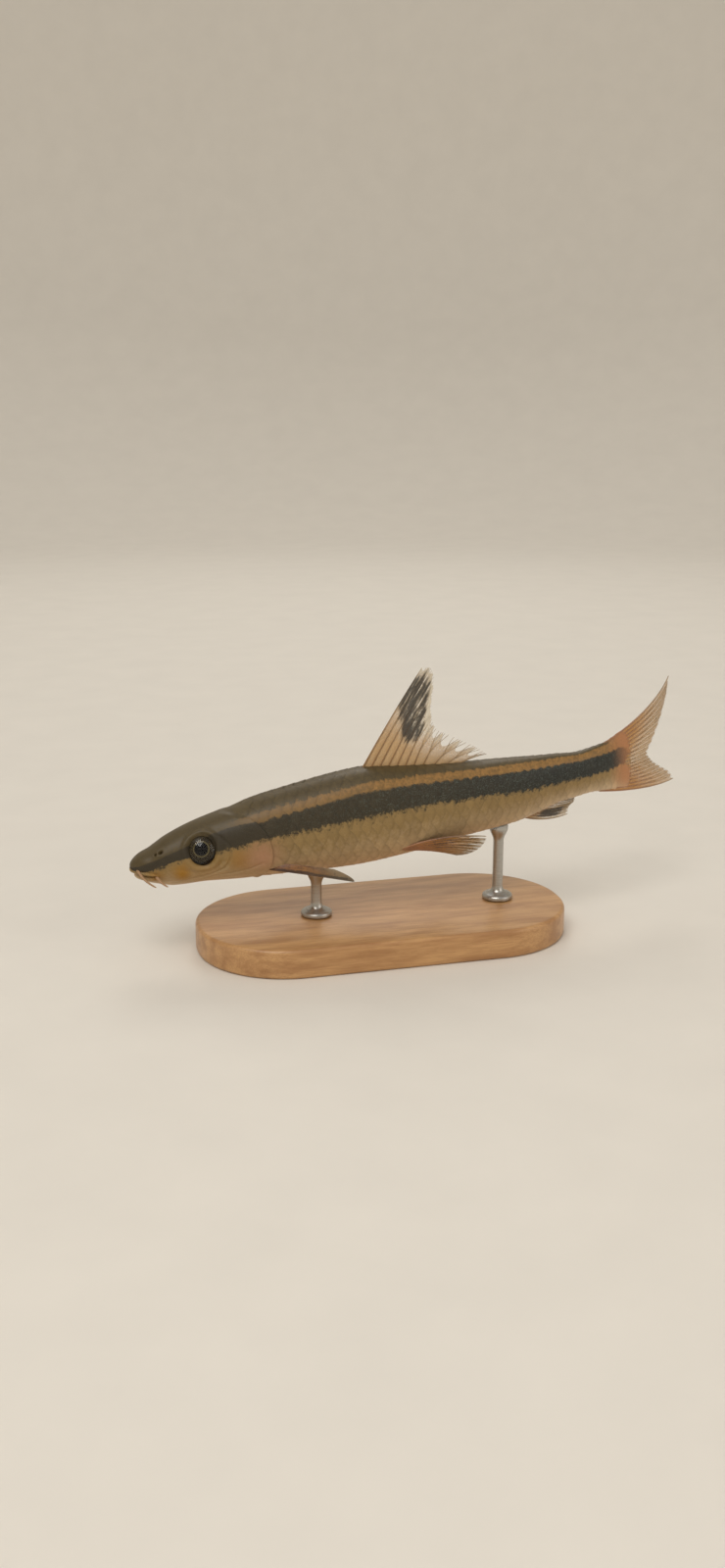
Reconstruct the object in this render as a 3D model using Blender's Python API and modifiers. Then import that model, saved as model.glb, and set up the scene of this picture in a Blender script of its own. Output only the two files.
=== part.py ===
"""A flying fox, a slender algae-eating aquarium fish, as a still, life-size model on a display stand.

Metres, +Z up. The origin is the middle of the stand's underside. The nose points along -X and the left side
faces -Y. The fish is held nose down, close over the bottom, with its tail swung towards +Y.

The fish is first laid out straight: "along" is the distance from the snout tip towards the tail, "side" is the
distance from the middle plane towards the right flank, and "up" is the height above its axis. place() bends the
axis sideways and carries such a point to its place over the stand.
"""

import bisect
import math

import bmesh
import bpy
from mathutils import Matrix, Vector

MM = 0.001
GAP = 0.3 * MM  # what neighbouring solids keep between them

# The body
LENGTH = 105 * MM  # snout tip to the root of the tail fin
STALK_FRONT = 77 * MM  # where the trunk ends and the tail stalk begins
NOSE_ROUND = 3.2 * MM  # how far back the snout's rounding reaches
ROUNDNESS = 2.25  # exponent of the cross sections, 2 for an ellipse
AROUND = 44  # points round each cross section

# Each cross section: along, height of the back, depth of the belly, and half the width, in millimetres
SECTIONS = (
    (0, 1.7, 2.6, 2.4),  # snout
    (4, 2.7, 4.2, 3.5),  # corners of the mouth
    (8, 4.6, 5.5, 4.3),  # chin
    (13.5, 6.3, 5.9, 5.1),  # eyes
    (21, 7.7, 6.9, 6.1),  # nape
    (29, 9.1, 7.8, 6.7),  # behind the gill covers
    (48.5, 10.4, 9.5, 7.3),  # front of the dorsal fin
    (58, 9.0, 9.3, 6.9),  # pelvic fins
    (70, 7.1, 8.5, 5.8),  # vent
    (80, 5.8, 8.3, 4.6),  # front of the anal fin
    (86, 4.9, 7.5, 3.7),  # end of the anal fin
    (92, 4.0, 6.6, 2.9),  # tail stalk
    (98, 3.1, 6.6, 2.2),  # narrowest stalk
    (105, 3.3, 7.6, 1.2),  # root of the tail fin
)

# The pose
PITCH = math.radians(8)  # nose down
SWAY = math.radians(45)  # how far the tip of the tail fin has turned sideways
SWAY_FROM = 58 * MM
SWAY_TO = 130 * MM
SWAY_STEPS = 24  # short straight steps that the bend is added up from
MIDDLE = 52.5 * MM  # the point along the body that stands over the origin
AXIS_HEIGHT = 27 * MM  # height of the body's axis there

# The head
GILL_TOP = 20.5 * MM  # where the head's rear edge starts on the back
GILL_BOTTOM = 22.5 * MM  # where it ends under the throat
GILL_BULGE = 6.0 * MM  # how far the gill covers reach behind those
GILL_LIP = 0.35 * MM  # how far a gill cover's free edge stands out
GILL_LIP_REACH = 3.5 * MM  # over which the cover swells up to its edge
EYE_ALONG = 14 * MM
EYE_TURN = math.radians(74)  # from the middle of the back
EYE_RADIUS = 3.15 * MM
EYE_DEPTH = 1.9 * MM  # the eyeball is a flattened ball
EYE_PROUD = 0.6 * MM  # how far it stands out of the skin
BROW_LIFT = 0.3 * MM  # the raised ring of skin round the eye
BROW_RADIUS = 3.7 * MM
BROW_SPREAD = 0.8 * MM
NOSTRIL_ALONG = 5.6 * MM
NOSTRIL_TURN = math.radians(50)
NOSTRIL_RADIUS = 0.45 * MM
NOSTRIL_RIM = 0.35 * MM  # how far the skin round it stands up
NOSTRIL_SPREAD = 0.9 * MM
MOUTH_CORNER = Vector((3.9 * MM, 0, -2.3 * MM))
MOUTH_SLOPE = math.radians(15)  # the line of the mouth climbs this much towards the snout
MOUTH_SLIT = 0.35 * MM
LIP_LIFT = 0.28 * MM
LIP_OFFSET = 0.65 * MM  # from the line of the mouth to the crest of a lip
LIP_SPREAD = 0.4 * MM

# The fins
SINK = 1.6 * MM  # how deep a root starts inside the flesh before it is cut
RIDGE = 0.42 * MM  # half the thickness on a ray
WEB = 0.26 * MM  # half the thickness of the membrane between rays
RIM = 0.14 * MM  # half the thickness at the free edge
STEEPEST = 0.6  # how much a ray may rise over the distance to the membrane beside it
NOTCH = 0.035  # how far the membrane stops short of the ray tips, as a share of their length
TAIL_ROOT_SWELL = 0.35 * MM  # what the tail fin gains on each side where the stalk's muscle runs out on it
TAIL_SPLIT = 0.015  # half the slit between the lobes, as a share of the row of rays

# Rays: share of the row, angle of the ray's tip to the body's axis in degrees, and length in millimetres
DORSAL_ROOT = (48.6 * MM, 67.0 * MM)
DORSAL_RAYS = (
    (0.0, 48, 24.0),
    (0.1, 48, 23.7),
    (0.2, 48, 22.1),
    (0.3, 48, 18.9),
    (0.4, 50, 15.5),
    (0.5, 51, 11.9),
    (0.6, 52, 9.4),
    (0.7, 46, 8.1),
    (0.8, 27, 8.3),
    (0.9, 11, 9.0),
    (1.0, -1, 9.4),
)
DORSAL_CURL = (5, 24)  # how much the slope drops over the first ray and over the last, in degrees
ANAL_ROOT = (80.5 * MM, 87.0 * MM)
ANAL_RAYS = (
    (0.0, -7, 13.0),
    (0.5, 0, 10.8),
    (1.0, 4, 8.5),
)
ANAL_CURL = (-38, -16)
TAIL_RAYS = (
    (0.0, 17, 28.0),
    (0.1, 13, 26.5),
    (0.2, 9, 22.8),
    (0.35, 3, 16.4),
    (0.5, -2, 12.5),
    (0.65, -5, 14.6),
    (0.8, -8, 19.4),
    (0.9, -10, 23.4),
    (1.0, -12, 25.0),
)
TAIL_CURL = (-9, -9)

# Barbels: along, turn, and length
BARBELS = {
    "snout": (1.3 * MM, math.radians(104), 5.0 * MM),
    "mouth": (4.6 * MM, math.radians(122), 3.2 * MM),
}
BARBEL_RADIUS = 0.32 * MM
BARBEL_SINK = 0.8 * MM
BARBEL_STEPS = 9

# The stand
BASE_SIZE = Vector((78, 38, 6)) * MM
BASE_CORNER = 18.5 * MM
BASE_EDGE = 0.8 * MM
ROD_RADIUS = 1.1 * MM
ROD_FOOT = 3.2 * MM  # radius of the disc that a rod stands on
ROD_PAD = 2.0 * MM  # radius of the cup under the belly
ROD_STEPS = 24
ROD_PLACES = {"front": 37 * MM, "rear": 77 * MM}


def smooth_line(xs, ys):
    """A function that passes smoothly through the points, with no swing beyond them."""
    steps = [b - a for a, b in zip(xs, xs[1:])]
    slopes = [(b - a) / step for a, b, step in zip(ys, ys[1:], steps)]
    tangents = [slopes[0]]
    for before, after in zip(slopes, slopes[1:]):
        turns_back = before * after <= 0
        tangents.append(0.0 if turns_back else 2 * before * after / (before + after))
    tangents.append(slopes[-1])

    def at(x):
        i = min(max(bisect.bisect_right(xs, x) - 1, 0), len(steps) - 1)
        t = min(max((x - xs[i]) / steps[i], 0.0), 1.0)
        rise = t * t * (3 - 2 * t)
        start = tangents[i] * steps[i] * t * (1 - t) ** 2
        end = tangents[i + 1] * steps[i] * t * t * (t - 1)
        return ys[i] + (ys[i + 1] - ys[i]) * rise + start + end

    return at


def section_line(column):
    xs = [row[0] * MM for row in SECTIONS]
    return smooth_line(xs, [row[column] * MM for row in SECTIONS])


back_height, belly_depth, half_width = (section_line(column) for column in (1, 2, 3))


def ease(share):
    """0 to 1, starting and ending gently."""
    share = min(max(share, 0.0), 1.0)
    return share * share * (3 - 2 * share)


def mix(a, b, share):
    return a + (b - a) * share


def hump(distance, spread):
    return math.exp(-((distance / spread) ** 2))


def heading(along):
    return SWAY * max(0.0, (along - SWAY_FROM) / (SWAY_TO - SWAY_FROM)) ** 2


def spine(along):
    """The bent axis seen from above, at a distance along it: x and y."""
    if along <= SWAY_FROM:
        return along, 0.0
    step = (along - SWAY_FROM) / SWAY_STEPS
    turns = [heading(SWAY_FROM + (i + 0.5) * step) for i in range(SWAY_STEPS)]
    return SWAY_FROM + step * sum(map(math.cos, turns)), step * sum(map(math.sin, turns))


FISH_POSE = (
    Matrix.Translation((0, 0, AXIS_HEIGHT))
    @ Matrix.Rotation(-PITCH, 4, "Y")
    @ Matrix.Translation((-MIDDLE, 0, 0))
)


def place(along, side, up):
    """A point of the straight fish, carried to its place over the stand."""
    x, y = spine(along)
    turn = heading(along)
    return FISH_POSE @ Vector((x - side * math.sin(turn), y + side * math.cos(turn), up))


def rounded(value):
    """A sine or cosine, raised so that the cross section is a little squarer than an ellipse."""
    return math.copysign(abs(value) ** (2 / ROUNDNESS), value)


def section_point(along, turn, lift=0.0):
    """Side and up of the skin. turn runs round the body from the back, over the right flank."""
    blunt = math.sqrt(max(0.0, 1 - max(0.0, 1 - along / NOSE_ROUND) ** 2))
    height = back_height if math.cos(turn) > 0 else belly_depth
    side = (half_width(along) * blunt + lift) * rounded(math.sin(turn))
    up = (height(along) * blunt + lift) * rounded(math.cos(turn))
    return side, up


def gill_edge(turn):
    """Where the head ends and the trunk begins, as a distance along the body."""
    down = (1 - math.cos(turn)) / 2
    return mix(GILL_TOP, GILL_BOTTOM, down) + GILL_BULGE * abs(math.sin(turn)) ** 1.5


def away_from(along, turn, centre_along, centre_turn):
    """Distance over the skin from a place that both sides of the head have."""
    turn = abs((turn + math.pi) % (2 * math.pi) - math.pi)
    girth = (half_width(centre_along) + back_height(centre_along)) / 2
    return math.hypot(along - centre_along, girth * (turn - centre_turn))


def relief(along, turn):
    """The head's fine forms, as a lift of the skin: lips, nostril rims, brows and gill cover edges."""
    if along > GILL_BOTTOM + GILL_BULGE:
        return 0.0
    _, up = section_point(along, turn)
    mouth = MOUTH_CORNER.z + math.tan(MOUTH_SLOPE) * (MOUTH_CORNER.x - along)
    lip = LIP_LIFT * hump(abs(up - mouth) - LIP_OFFSET, LIP_SPREAD)
    lip *= 1 - ease((along - MOUTH_CORNER.x) / LIP_OFFSET)
    nostril = NOSTRIL_RIM * hump(away_from(along, turn, NOSTRIL_ALONG, NOSTRIL_TURN), NOSTRIL_SPREAD)
    brow = BROW_LIFT * hump(away_from(along, turn, EYE_ALONG, EYE_TURN) - BROW_RADIUS, BROW_SPREAD)
    before_edge = gill_edge(turn) - along
    lip_share = ease(1 - before_edge / GILL_LIP_REACH) if before_edge > -GAP else 0.0
    gill = GILL_LIP * lip_share * abs(math.sin(turn)) ** 2
    return lip + nostril + brow + gill


def skin_point(along, turn, lift=0.0):
    side, up = section_point(along, turn, lift + relief(along, turn))
    forward = lift * max(0.0, 1 - along / NOSE_ROUND)
    return place(along - forward, side, up)


def skin_frame(along, turn):
    """A place on the skin with its own axes: Z out of the skin, X towards the tail."""
    step = 0.2 * MM
    here = skin_point(along, turn)
    back = (skin_point(along + step, turn) - skin_point(along - step, turn)).normalized()
    out = here - place(along, 0, 0)
    across = out.cross(back).normalized()
    out = back.cross(across)
    axes = Matrix((back, across, out)).transposed().to_4x4()
    return Matrix.Translation(here) @ axes


def material(name, colour, roughness, metallic=0.0):
    made = bpy.data.materials.new(name)
    made.use_nodes = True
    shader = made.node_tree.nodes["Principled BSDF"]
    shader.inputs["Base Color"].default_value = (*colour, 1)
    shader.inputs["Roughness"].default_value = roughness
    shader.inputs["Metallic"].default_value = metallic
    return made


def new_object(name, mesh, collection, finish=None):
    made = bpy.data.objects.new(name, mesh)
    collection.objects.link(made)
    if finish:
        mesh.materials.append(finish)
    return made


def mesh_of(name, points, faces):
    mesh = bpy.data.meshes.new(name)
    mesh.from_pydata([tuple(point) for point in points], [], faces)
    shape = bmesh.new()
    shape.from_mesh(mesh)
    bmesh.ops.recalc_face_normals(shape, faces=shape.faces)
    shape.to_mesh(mesh)
    shape.free()
    return mesh


def loft(name, rings, first, last):
    """A closed mesh through rings of points, ending in a point at each end."""
    around = len(rings[0])
    points = [first, *(point for ring in rings for point in ring), last]
    faces = []
    for i in range(around):
        j = (i + 1) % around
        faces.append((0, 1 + j, 1 + i))
        for ring in range(len(rings) - 1):
            a, b = 1 + ring * around, 1 + (ring + 1) * around
            faces.append((a + i, a + j, b + j, b + i))
        end = 1 + (len(rings) - 1) * around
        faces.append((end + i, end + j, len(points) - 1))
    return mesh_of(name, points, faces)


def keep_largest(mesh):
    """Leaves only the mesh's largest connected surface."""
    shape = bmesh.new()
    shape.from_mesh(mesh)
    bmesh.ops.remove_doubles(shape, verts=shape.verts, dist=0.001 * MM)
    waiting = set(shape.faces)
    surfaces = []
    while waiting:
        found = [waiting.pop()]
        for face in found:
            near = {other for edge in face.edges for other in edge.link_faces} & waiting
            waiting -= near
            found.extend(near)
        surfaces.append(found)
    surfaces.sort(key=lambda faces: sum(face.calc_area() for face in faces))
    scraps = [face for faces in surfaces[:-1] for face in faces]
    bmesh.ops.delete(shape, geom=scraps, context="FACES")
    shape.to_mesh(mesh)
    shape.free()


def cut(target, cutters):
    """Cuts the cutters out of an object, applies the cuts and drops any scrap."""
    for cutter in cutters:
        modifier = target.modifiers.new("cut", "BOOLEAN")
        modifier.operation = "DIFFERENCE"
        modifier.object = cutter
    graph = bpy.context.evaluated_depsgraph_get()
    mesh = bpy.data.meshes.new_from_object(target.evaluated_get(graph))
    target.modifiers.clear()
    target.data = mesh
    keep_largest(mesh)


def as_cutter(mesh, cutters):
    made = new_object(mesh.name, mesh, cutters)
    made.hide_render = True
    made.display_type = "WIRE"
    return made


def turns():
    return [2 * math.pi * i / AROUND for i in range(AROUND)]


def flesh(name, front, rear, rings, finish, parts):
    """A length of the body between two edges, each a function of turn, or None for the snout tip."""
    made = []
    for i in range(rings + 1):
        share = i / rings
        if front is None:
            share = ((i + 1) / (rings + 1)) ** 1.6
        ring = []
        for turn in turns():
            start = front(turn) if front else 0.0
            ring.append(skin_point(mix(start, rear(turn), share), turn))
        made.append(ring)
    first = place(front(0), 0, 0) if front else place(0, 0, 0)
    last = place(rear(0), 0, 0)
    return new_object(name, loft(name, made, first, last), parts, finish)


def flesh_outline(cutters):
    """The whole body, larger all over by the gap, which cuts whatever grows from it."""
    stations = [LENGTH * (i / 70) ** 1.3 for i in range(1, 71)]
    rings = [[skin_point(along, turn, GAP) for turn in turns()] for along in stations]
    end = [section_point(LENGTH, turn, GAP) for turn in turns()]
    rings.append([place(LENGTH + GAP, side, up) for side, up in end])
    last = place(LENGTH + GAP, 0, 0)
    mesh = loft("flesh_outline", rings, place(-GAP, 0, 0), last)
    return as_cutter(mesh, cutters)


def ball_mesh(name, sizes, matrix, segments, rings):
    shape = bmesh.new()
    bmesh.ops.create_uvsphere(shape, u_segments=segments, v_segments=rings, radius=1)
    bmesh.ops.transform(shape, matrix=matrix @ Matrix.Diagonal((*sizes, 1)), verts=shape.verts)
    mesh = bpy.data.meshes.new(name)
    shape.to_mesh(mesh)
    shape.free()
    return mesh


def eye_frame(side):
    frame = skin_frame(EYE_ALONG, side * EYE_TURN)
    return frame @ Matrix.Translation((0, 0, EYE_PROUD - EYE_DEPTH))


def eyes(finish, parts):
    for side, name in ((1, "right"), (-1, "left")):
        sizes = (EYE_RADIUS, EYE_RADIUS, EYE_DEPTH)
        new_object(f"eye_{name}", ball_mesh("eye", sizes, eye_frame(side), 24, 12), parts, finish)


def head_cutters(cutters):
    """Eye sockets, nostrils and the line of the mouth."""
    made = []
    for side in (1, -1):
        sizes = (EYE_RADIUS + GAP, EYE_RADIUS + GAP, EYE_DEPTH + GAP)
        made.append(as_cutter(ball_mesh("eye_socket", sizes, eye_frame(side), 24, 12), cutters))
        sizes = (1.3 * NOSTRIL_RADIUS, NOSTRIL_RADIUS, 1.5 * NOSTRIL_RADIUS)
        frame = skin_frame(NOSTRIL_ALONG, side * NOSTRIL_TURN)
        made.append(as_cutter(ball_mesh("nostril", sizes, frame, 10, 6), cutters))
    reach = 8 * MM
    slit = bmesh.new()
    bmesh.ops.create_cube(slit, size=1)
    matrix = (
        FISH_POSE
        @ Matrix.Translation(MOUTH_CORNER)
        @ Matrix.Rotation(MOUTH_SLOPE, 4, "Y")
        @ Matrix.Translation((-reach / 2, 0, 0))
        @ Matrix.Diagonal((reach, reach, MOUTH_SLIT, 1))
    )
    bmesh.ops.transform(slit, matrix=matrix, verts=slit.verts)
    mesh = bpy.data.meshes.new("mouth_line")
    slit.to_mesh(mesh)
    slit.free()
    made.append(as_cutter(mesh, cutters))
    return made


def fin(name, middle, rays, rows, finish, parts, outline, swell=0.0):
    """A membrane on rays, as one closed sheet whose thickness swells on each ray.

    middle(share, reach) is a point of its middle surface: share runs over the rays and reach from the root to
    the free edge. swell is what each side gains at the root.
    """
    columns = 2 * rays - 1
    step = 1e-3
    front, rear = [], []
    for column in range(columns):
        share = column / (columns - 1)
        on_ray = column % 2 == 0
        for row in range(rows + 1):
            reach = row / rows * (1 if on_ray else 1 - NOTCH)
            here = middle(share, reach)
            over = middle(min(share + step, 1), reach) - middle(max(share - step, 0), reach)
            out = middle(share, reach + step) - middle(share, reach - step)
            spacing = over.length / (2 * step) / (columns - 1)
            ridge = min(RIDGE - WEB, STEEPEST * spacing) if on_ray else 0.0
            thick = mix(WEB + ridge, RIM, reach**4) + swell * hump(reach, 0.16)
            normal = over.cross(out).normalized() * thick
            front.append(here + normal)
            rear.append(here - normal)
    points = front + rear
    lower = len(front)
    width = rows + 1
    faces = []
    for column in range(columns - 1):
        for row in range(rows):
            a = column * width + row
            b, c, d = a + width, a + width + 1, a + 1
            for tri in ((a, b, c), (a, c, d)):
                faces.append(tri)
                faces.append(tuple(lower + i for i in reversed(tri)))
    edge = [column * width for column in range(columns)]
    edge += [(columns - 1) * width + row for row in range(1, width)]
    edge += [column * width + rows for column in range(columns - 2, -1, -1)]
    edge += [row for row in range(rows - 1, 0, -1)]
    for a, b in zip(edge, edge[1:] + edge[:1]):
        faces.append((b, a, lower + a))
        faces.append((b, lower + a, lower + b))
    made = new_object(name, mesh_of(name, points, faces), parts, finish)
    cut(made, [outline])
    return made


def ray_lines(rays):
    """A fin's ray angles and lengths as functions of the share of its row."""
    shares, angles, lengths = zip(*rays)
    return smooth_line(shares, angles), smooth_line(shares, lengths)


dorsal_angle, dorsal_length = ray_lines(DORSAL_RAYS)
anal_angle, anal_length = ray_lines(ANAL_RAYS)
tail_angle, tail_length = ray_lines(TAIL_RAYS)


def ray_point(tip_angle, curl, length, reach):
    """How far a curved ray has gone along the body and up. Its slope drops by curl from root to tip."""
    angle = math.radians(tip_angle + curl * (1 - max(reach, 0)) / 2)
    return length * MM * reach * math.cos(angle), length * MM * reach * math.sin(angle)


def dorsal_middle(share, reach):
    start = mix(*DORSAL_ROOT, share)
    ahead, up = ray_point(dorsal_angle(share), mix(*DORSAL_CURL, share), dorsal_length(share), reach)
    root = back_height(start) - SINK * (1 - reach)
    side = 0.9 * MM * reach**2 * math.sin(2.2 * math.pi * share)
    return place(start + ahead, side, root + up)


def anal_middle(share, reach):
    start = mix(*ANAL_ROOT, share)
    ahead, up = ray_point(anal_angle(share), mix(*ANAL_CURL, share), anal_length(share), reach)
    root = SINK * (1 - reach) - belly_depth(start)
    side = 0.5 * MM * reach * math.sin(2 * math.pi * share)
    return place(start + ahead, side, root + up)


def tail_middle(share, reach):
    """share runs from the upper edge, 0, to the lower edge, 1."""
    ahead, up = ray_point(tail_angle(share), mix(*TAIL_CURL, share), tail_length(share), reach)
    root = mix(back_height(LENGTH), -belly_depth(LENGTH), mix(0.05, 0.98, share))
    side = 0.5 * MM * reach**2 * math.sin(3 * math.pi * share)
    return place(LENGTH - SINK * (1 - reach) + ahead, side, root + up)


def half_of_tail(first, last):
    """The middle surface of the tail fin's upper or lower lobe."""
    return lambda share, reach: tail_middle(mix(first, last, share), reach)


def paired_middle(side, root_along, root_turn, spread, leading, trailing, lengths, droops):
    """The middle surface of a pectoral or pelvic fin. leading and trailing are its edges' directions."""

    def middle(share, reach):
        along = mix(*root_along, share)
        turn = mix(*root_turn, share)
        out, up = section_point(along, turn)
        direction = leading.lerp(trailing, share**spread).normalized()
        far = mix(*lengths, share**1.3) * reach - SINK * (1 - reach)
        sag = mix(*droops, share) * max(reach, 0) ** 2
        return place(
            along + far * direction.x, side * (out + far * direction.y), up + far * direction.z - sag
        )

    return middle


def paired_fins(finish, parts, outline):
    for side, name in ((1, "right"), (-1, "left")):
        pectoral = paired_middle(
            side,
            root_along=(27.0 * MM, 30.0 * MM),
            root_turn=(math.radians(131), math.radians(122)),
            spread=1.1,
            leading=Vector((0.80, 0.56, -0.12)),
            trailing=Vector((0.86, 0.46, -0.12)),
            lengths=(17.6 * MM, 10.0 * MM),
            droops=(0.4 * MM, 0.4 * MM),
        )
        fin(f"pectoral_fin_{name}", pectoral, 13, 8, finish, parts, outline)
        pelvic = paired_middle(
            side,
            root_along=(56.0 * MM, 58.5 * MM),
            root_turn=(math.radians(131), math.radians(157)),
            spread=1.0,
            leading=Vector((0.93, 0.27, 0.25)),
            trailing=Vector((0.93, 0.26, -0.14)),
            lengths=(15.8 * MM, 7.5 * MM),
            droops=(4.0 * MM, 1.2 * MM),
        )
        fin(f"pelvic_fin_{name}", pelvic, 9, 8, finish, parts, outline)


def tube(name, points, radii, finish, parts):
    """A tapered round feeler through the points, as a closed mesh."""
    curve = bpy.data.curves.new(name, "CURVE")
    curve.dimensions = "3D"
    curve.bevel_depth = 1.0
    curve.bevel_resolution = 2
    curve.use_fill_caps = True
    line = curve.splines.new("POLY")
    line.points.add(len(points) - 1)
    for spot, point, radius in zip(line.points, points, radii):
        spot.co = (*point, 1)
        spot.radius = radius
    guide = new_object(name + "_guide", curve, parts)
    graph = bpy.context.evaluated_depsgraph_get()
    mesh = bpy.data.meshes.new_from_object(guide.evaluated_get(graph))
    bpy.data.objects.remove(guide)
    shape = bmesh.new()
    shape.from_mesh(mesh)
    bmesh.ops.remove_doubles(shape, verts=shape.verts, dist=0.01 * MM)
    shape.to_mesh(mesh)
    shape.free()
    mesh.materials.clear()
    return new_object(name, mesh, parts, finish)


def barbels(finish, parts, outline):
    """Two pairs of feelers: one on the snout's rim and one at the corners of the mouth."""
    for kind, (along, turn, length) in BARBELS.items():
        for side, name in ((1, "right"), (-1, "left")):
            out, up = section_point(along, turn)
            points, radii = [], []
            for i in range(BARBEL_STEPS + 1):
                share = i / BARBEL_STEPS
                far = length * share - BARBEL_SINK
                back = 0.55 * length * share**2
                drop = 0.1 * far + 0.62 * max(far, 0)
                points.append(place(along + back, side * (out + 0.75 * far), up - drop))
                radii.append(BARBEL_RADIUS * mix(1.0, 0.45, share))
            made = tube(f"barbel_{kind}_{name}", points, radii, finish, parts)
            cut(made, [outline])


def stand_base(finish, parts):
    shape = bmesh.new()
    bmesh.ops.create_cube(shape, size=1)
    lift = Matrix.Translation((0, 0, BASE_SIZE.z / 2))
    size = Matrix.Diagonal((*BASE_SIZE, 1))
    bmesh.ops.transform(shape, matrix=lift @ size, verts=shape.verts)
    corners = [edge for edge in shape.edges if abs(edge.verts[0].co.z - edge.verts[1].co.z) > MM]
    bmesh.ops.bevel(
        shape, geom=corners, offset=BASE_CORNER, offset_type="OFFSET", segments=9, profile=0.5, affect="EDGES"
    )
    mesh = bpy.data.meshes.new("stand_base")
    shape.to_mesh(mesh)
    shape.free()
    base = new_object("stand_base", mesh, parts, finish)
    edge = base.modifiers.new("edges", "BEVEL")
    edge.width = BASE_EDGE
    edge.segments = 2
    edge.limit_method = "ANGLE"
    edge.angle_limit = math.radians(60)
    return base


def stand_rod(name, along, finish, parts, outline):
    """A turned rod with a foot on the base and a small cup that is cut to the belly's shape."""
    low = place(along, 0, -belly_depth(along))
    top = low.z + SINK - BASE_SIZE.z - GAP
    under = low.z - BASE_SIZE.z - GAP
    profile = (
        (0, top),
        (ROD_PAD, top),
        (ROD_PAD, under - 0.5 * MM),
        (ROD_RADIUS * 1.25, under - 1.5 * MM),
        (ROD_RADIUS, under - 2.4 * MM),
        (ROD_RADIUS, 2.6 * MM),
        (ROD_RADIUS * 1.3, 1.5 * MM),
        (ROD_FOOT * 0.86, 1.0 * MM),
        (ROD_FOOT, 0.7 * MM),
        (ROD_FOOT, 0),
        (0, 0),
    )
    mesh = bpy.data.meshes.new(name)
    edges = [(i, i + 1) for i in range(len(profile) - 1)]
    mesh.from_pydata([(radius, 0, height) for radius, height in profile], edges, [])
    rod = new_object(name, mesh, parts)
    rod.location = (low.x, low.y, BASE_SIZE.z + GAP)
    turned = rod.modifiers.new("turned", "SCREW")
    turned.steps = ROD_STEPS
    turned.render_steps = ROD_STEPS
    turned.use_merge_vertices = True
    turned.merge_threshold = 0.01 * MM
    bpy.context.view_layer.update()
    cut(rod, [outline])
    rod.data.materials.clear()
    rod.data.materials.append(finish)
    return rod


def main():
    for old in list(bpy.data.objects):
        bpy.data.objects.remove(old)
    scene = bpy.context.scene
    parts = bpy.data.collections.new("flying_fox")
    cutters = bpy.data.collections.new("cutters")
    scene.collection.children.link(parts)
    scene.collection.children.link(cutters)

    skin = material("fish_skin", (0.16, 0.14, 0.10), 0.35)
    membrane = material("fin_membrane", (0.55, 0.40, 0.24), 0.4)
    eyeball = material("eyeball", (0.05, 0.05, 0.05), 0.1)
    wood = material("beech", (0.62, 0.47, 0.32), 0.5)
    steel = material("steel", (0.6, 0.6, 0.6), 0.3, metallic=1.0)

    head = flesh("head", None, gill_edge, 40, skin, parts)
    flesh("trunk", lambda turn: gill_edge(turn) + GAP, lambda turn: STALK_FRONT, 20, skin, parts)
    flesh("tail_stalk", lambda turn: STALK_FRONT + GAP, lambda turn: LENGTH, 12, skin, parts)
    cut(head, head_cutters(cutters))
    eyes(eyeball, parts)

    outline = flesh_outline(cutters)
    fin("dorsal_fin", dorsal_middle, 11, 9, membrane, parts, outline)
    fin("anal_fin", anal_middle, 7, 6, membrane, parts, outline)
    upper = half_of_tail(0, 0.5 - TAIL_SPLIT)
    lower = half_of_tail(0.5 + TAIL_SPLIT, 1)
    fin("tail_fin_upper", upper, 10, 9, membrane, parts, outline, swell=TAIL_ROOT_SWELL)
    fin("tail_fin_lower", lower, 9, 9, membrane, parts, outline, swell=TAIL_ROOT_SWELL)
    paired_fins(membrane, parts, outline)
    barbels(skin, parts, outline)

    stand_base(wood, parts)
    for name, along in ROD_PLACES.items():
        stand_rod(f"stand_rod_{name}", along, steel, parts, outline)


main()
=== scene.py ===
"""The looks of a flying fox, a slender striped aquarium fish on a stand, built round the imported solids.

The fish is first laid out straight, as in the solids' source: "along" is the distance from the snout tip
towards the tail, "turn" runs round the body from the middle of the back over the right flank, "side" is the
distance from the middle plane and "up" the height above the body's axis. place() bends the axis and carries
such points to their places over the stand. The fins are laid out by "share", from a fin's first ray to its
last, and "reach", from its root to its free edge.
"""

import functools
import math

import bmesh
import bpy
import numpy as np
from mathutils import Matrix, Vector


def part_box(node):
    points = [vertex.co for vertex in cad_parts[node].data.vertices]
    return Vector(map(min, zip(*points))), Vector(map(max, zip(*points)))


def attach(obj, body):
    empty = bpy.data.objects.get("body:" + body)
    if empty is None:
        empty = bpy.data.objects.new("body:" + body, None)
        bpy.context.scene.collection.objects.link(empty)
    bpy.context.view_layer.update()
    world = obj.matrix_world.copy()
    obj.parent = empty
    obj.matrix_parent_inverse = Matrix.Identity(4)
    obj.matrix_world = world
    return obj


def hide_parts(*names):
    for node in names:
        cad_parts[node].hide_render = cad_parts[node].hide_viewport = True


bl_info = {
    "name": "Flying Fox Display Model",
    "version": (1, 0, 0),
    "blender": (4, 5, 0),
    "location": "View3D > Sidebar > Flying Fox",
    "description": "Builds the skin, scales, fins, eyes and stand of a life-size striped aquarium fish",
    "category": "Add Mesh",
}

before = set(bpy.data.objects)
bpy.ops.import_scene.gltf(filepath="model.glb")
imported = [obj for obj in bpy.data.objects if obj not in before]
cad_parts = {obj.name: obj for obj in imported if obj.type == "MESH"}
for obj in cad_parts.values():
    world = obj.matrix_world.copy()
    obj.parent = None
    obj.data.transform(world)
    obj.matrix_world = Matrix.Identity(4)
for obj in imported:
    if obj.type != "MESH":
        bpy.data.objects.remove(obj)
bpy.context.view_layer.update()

MM = 0.001

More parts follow.
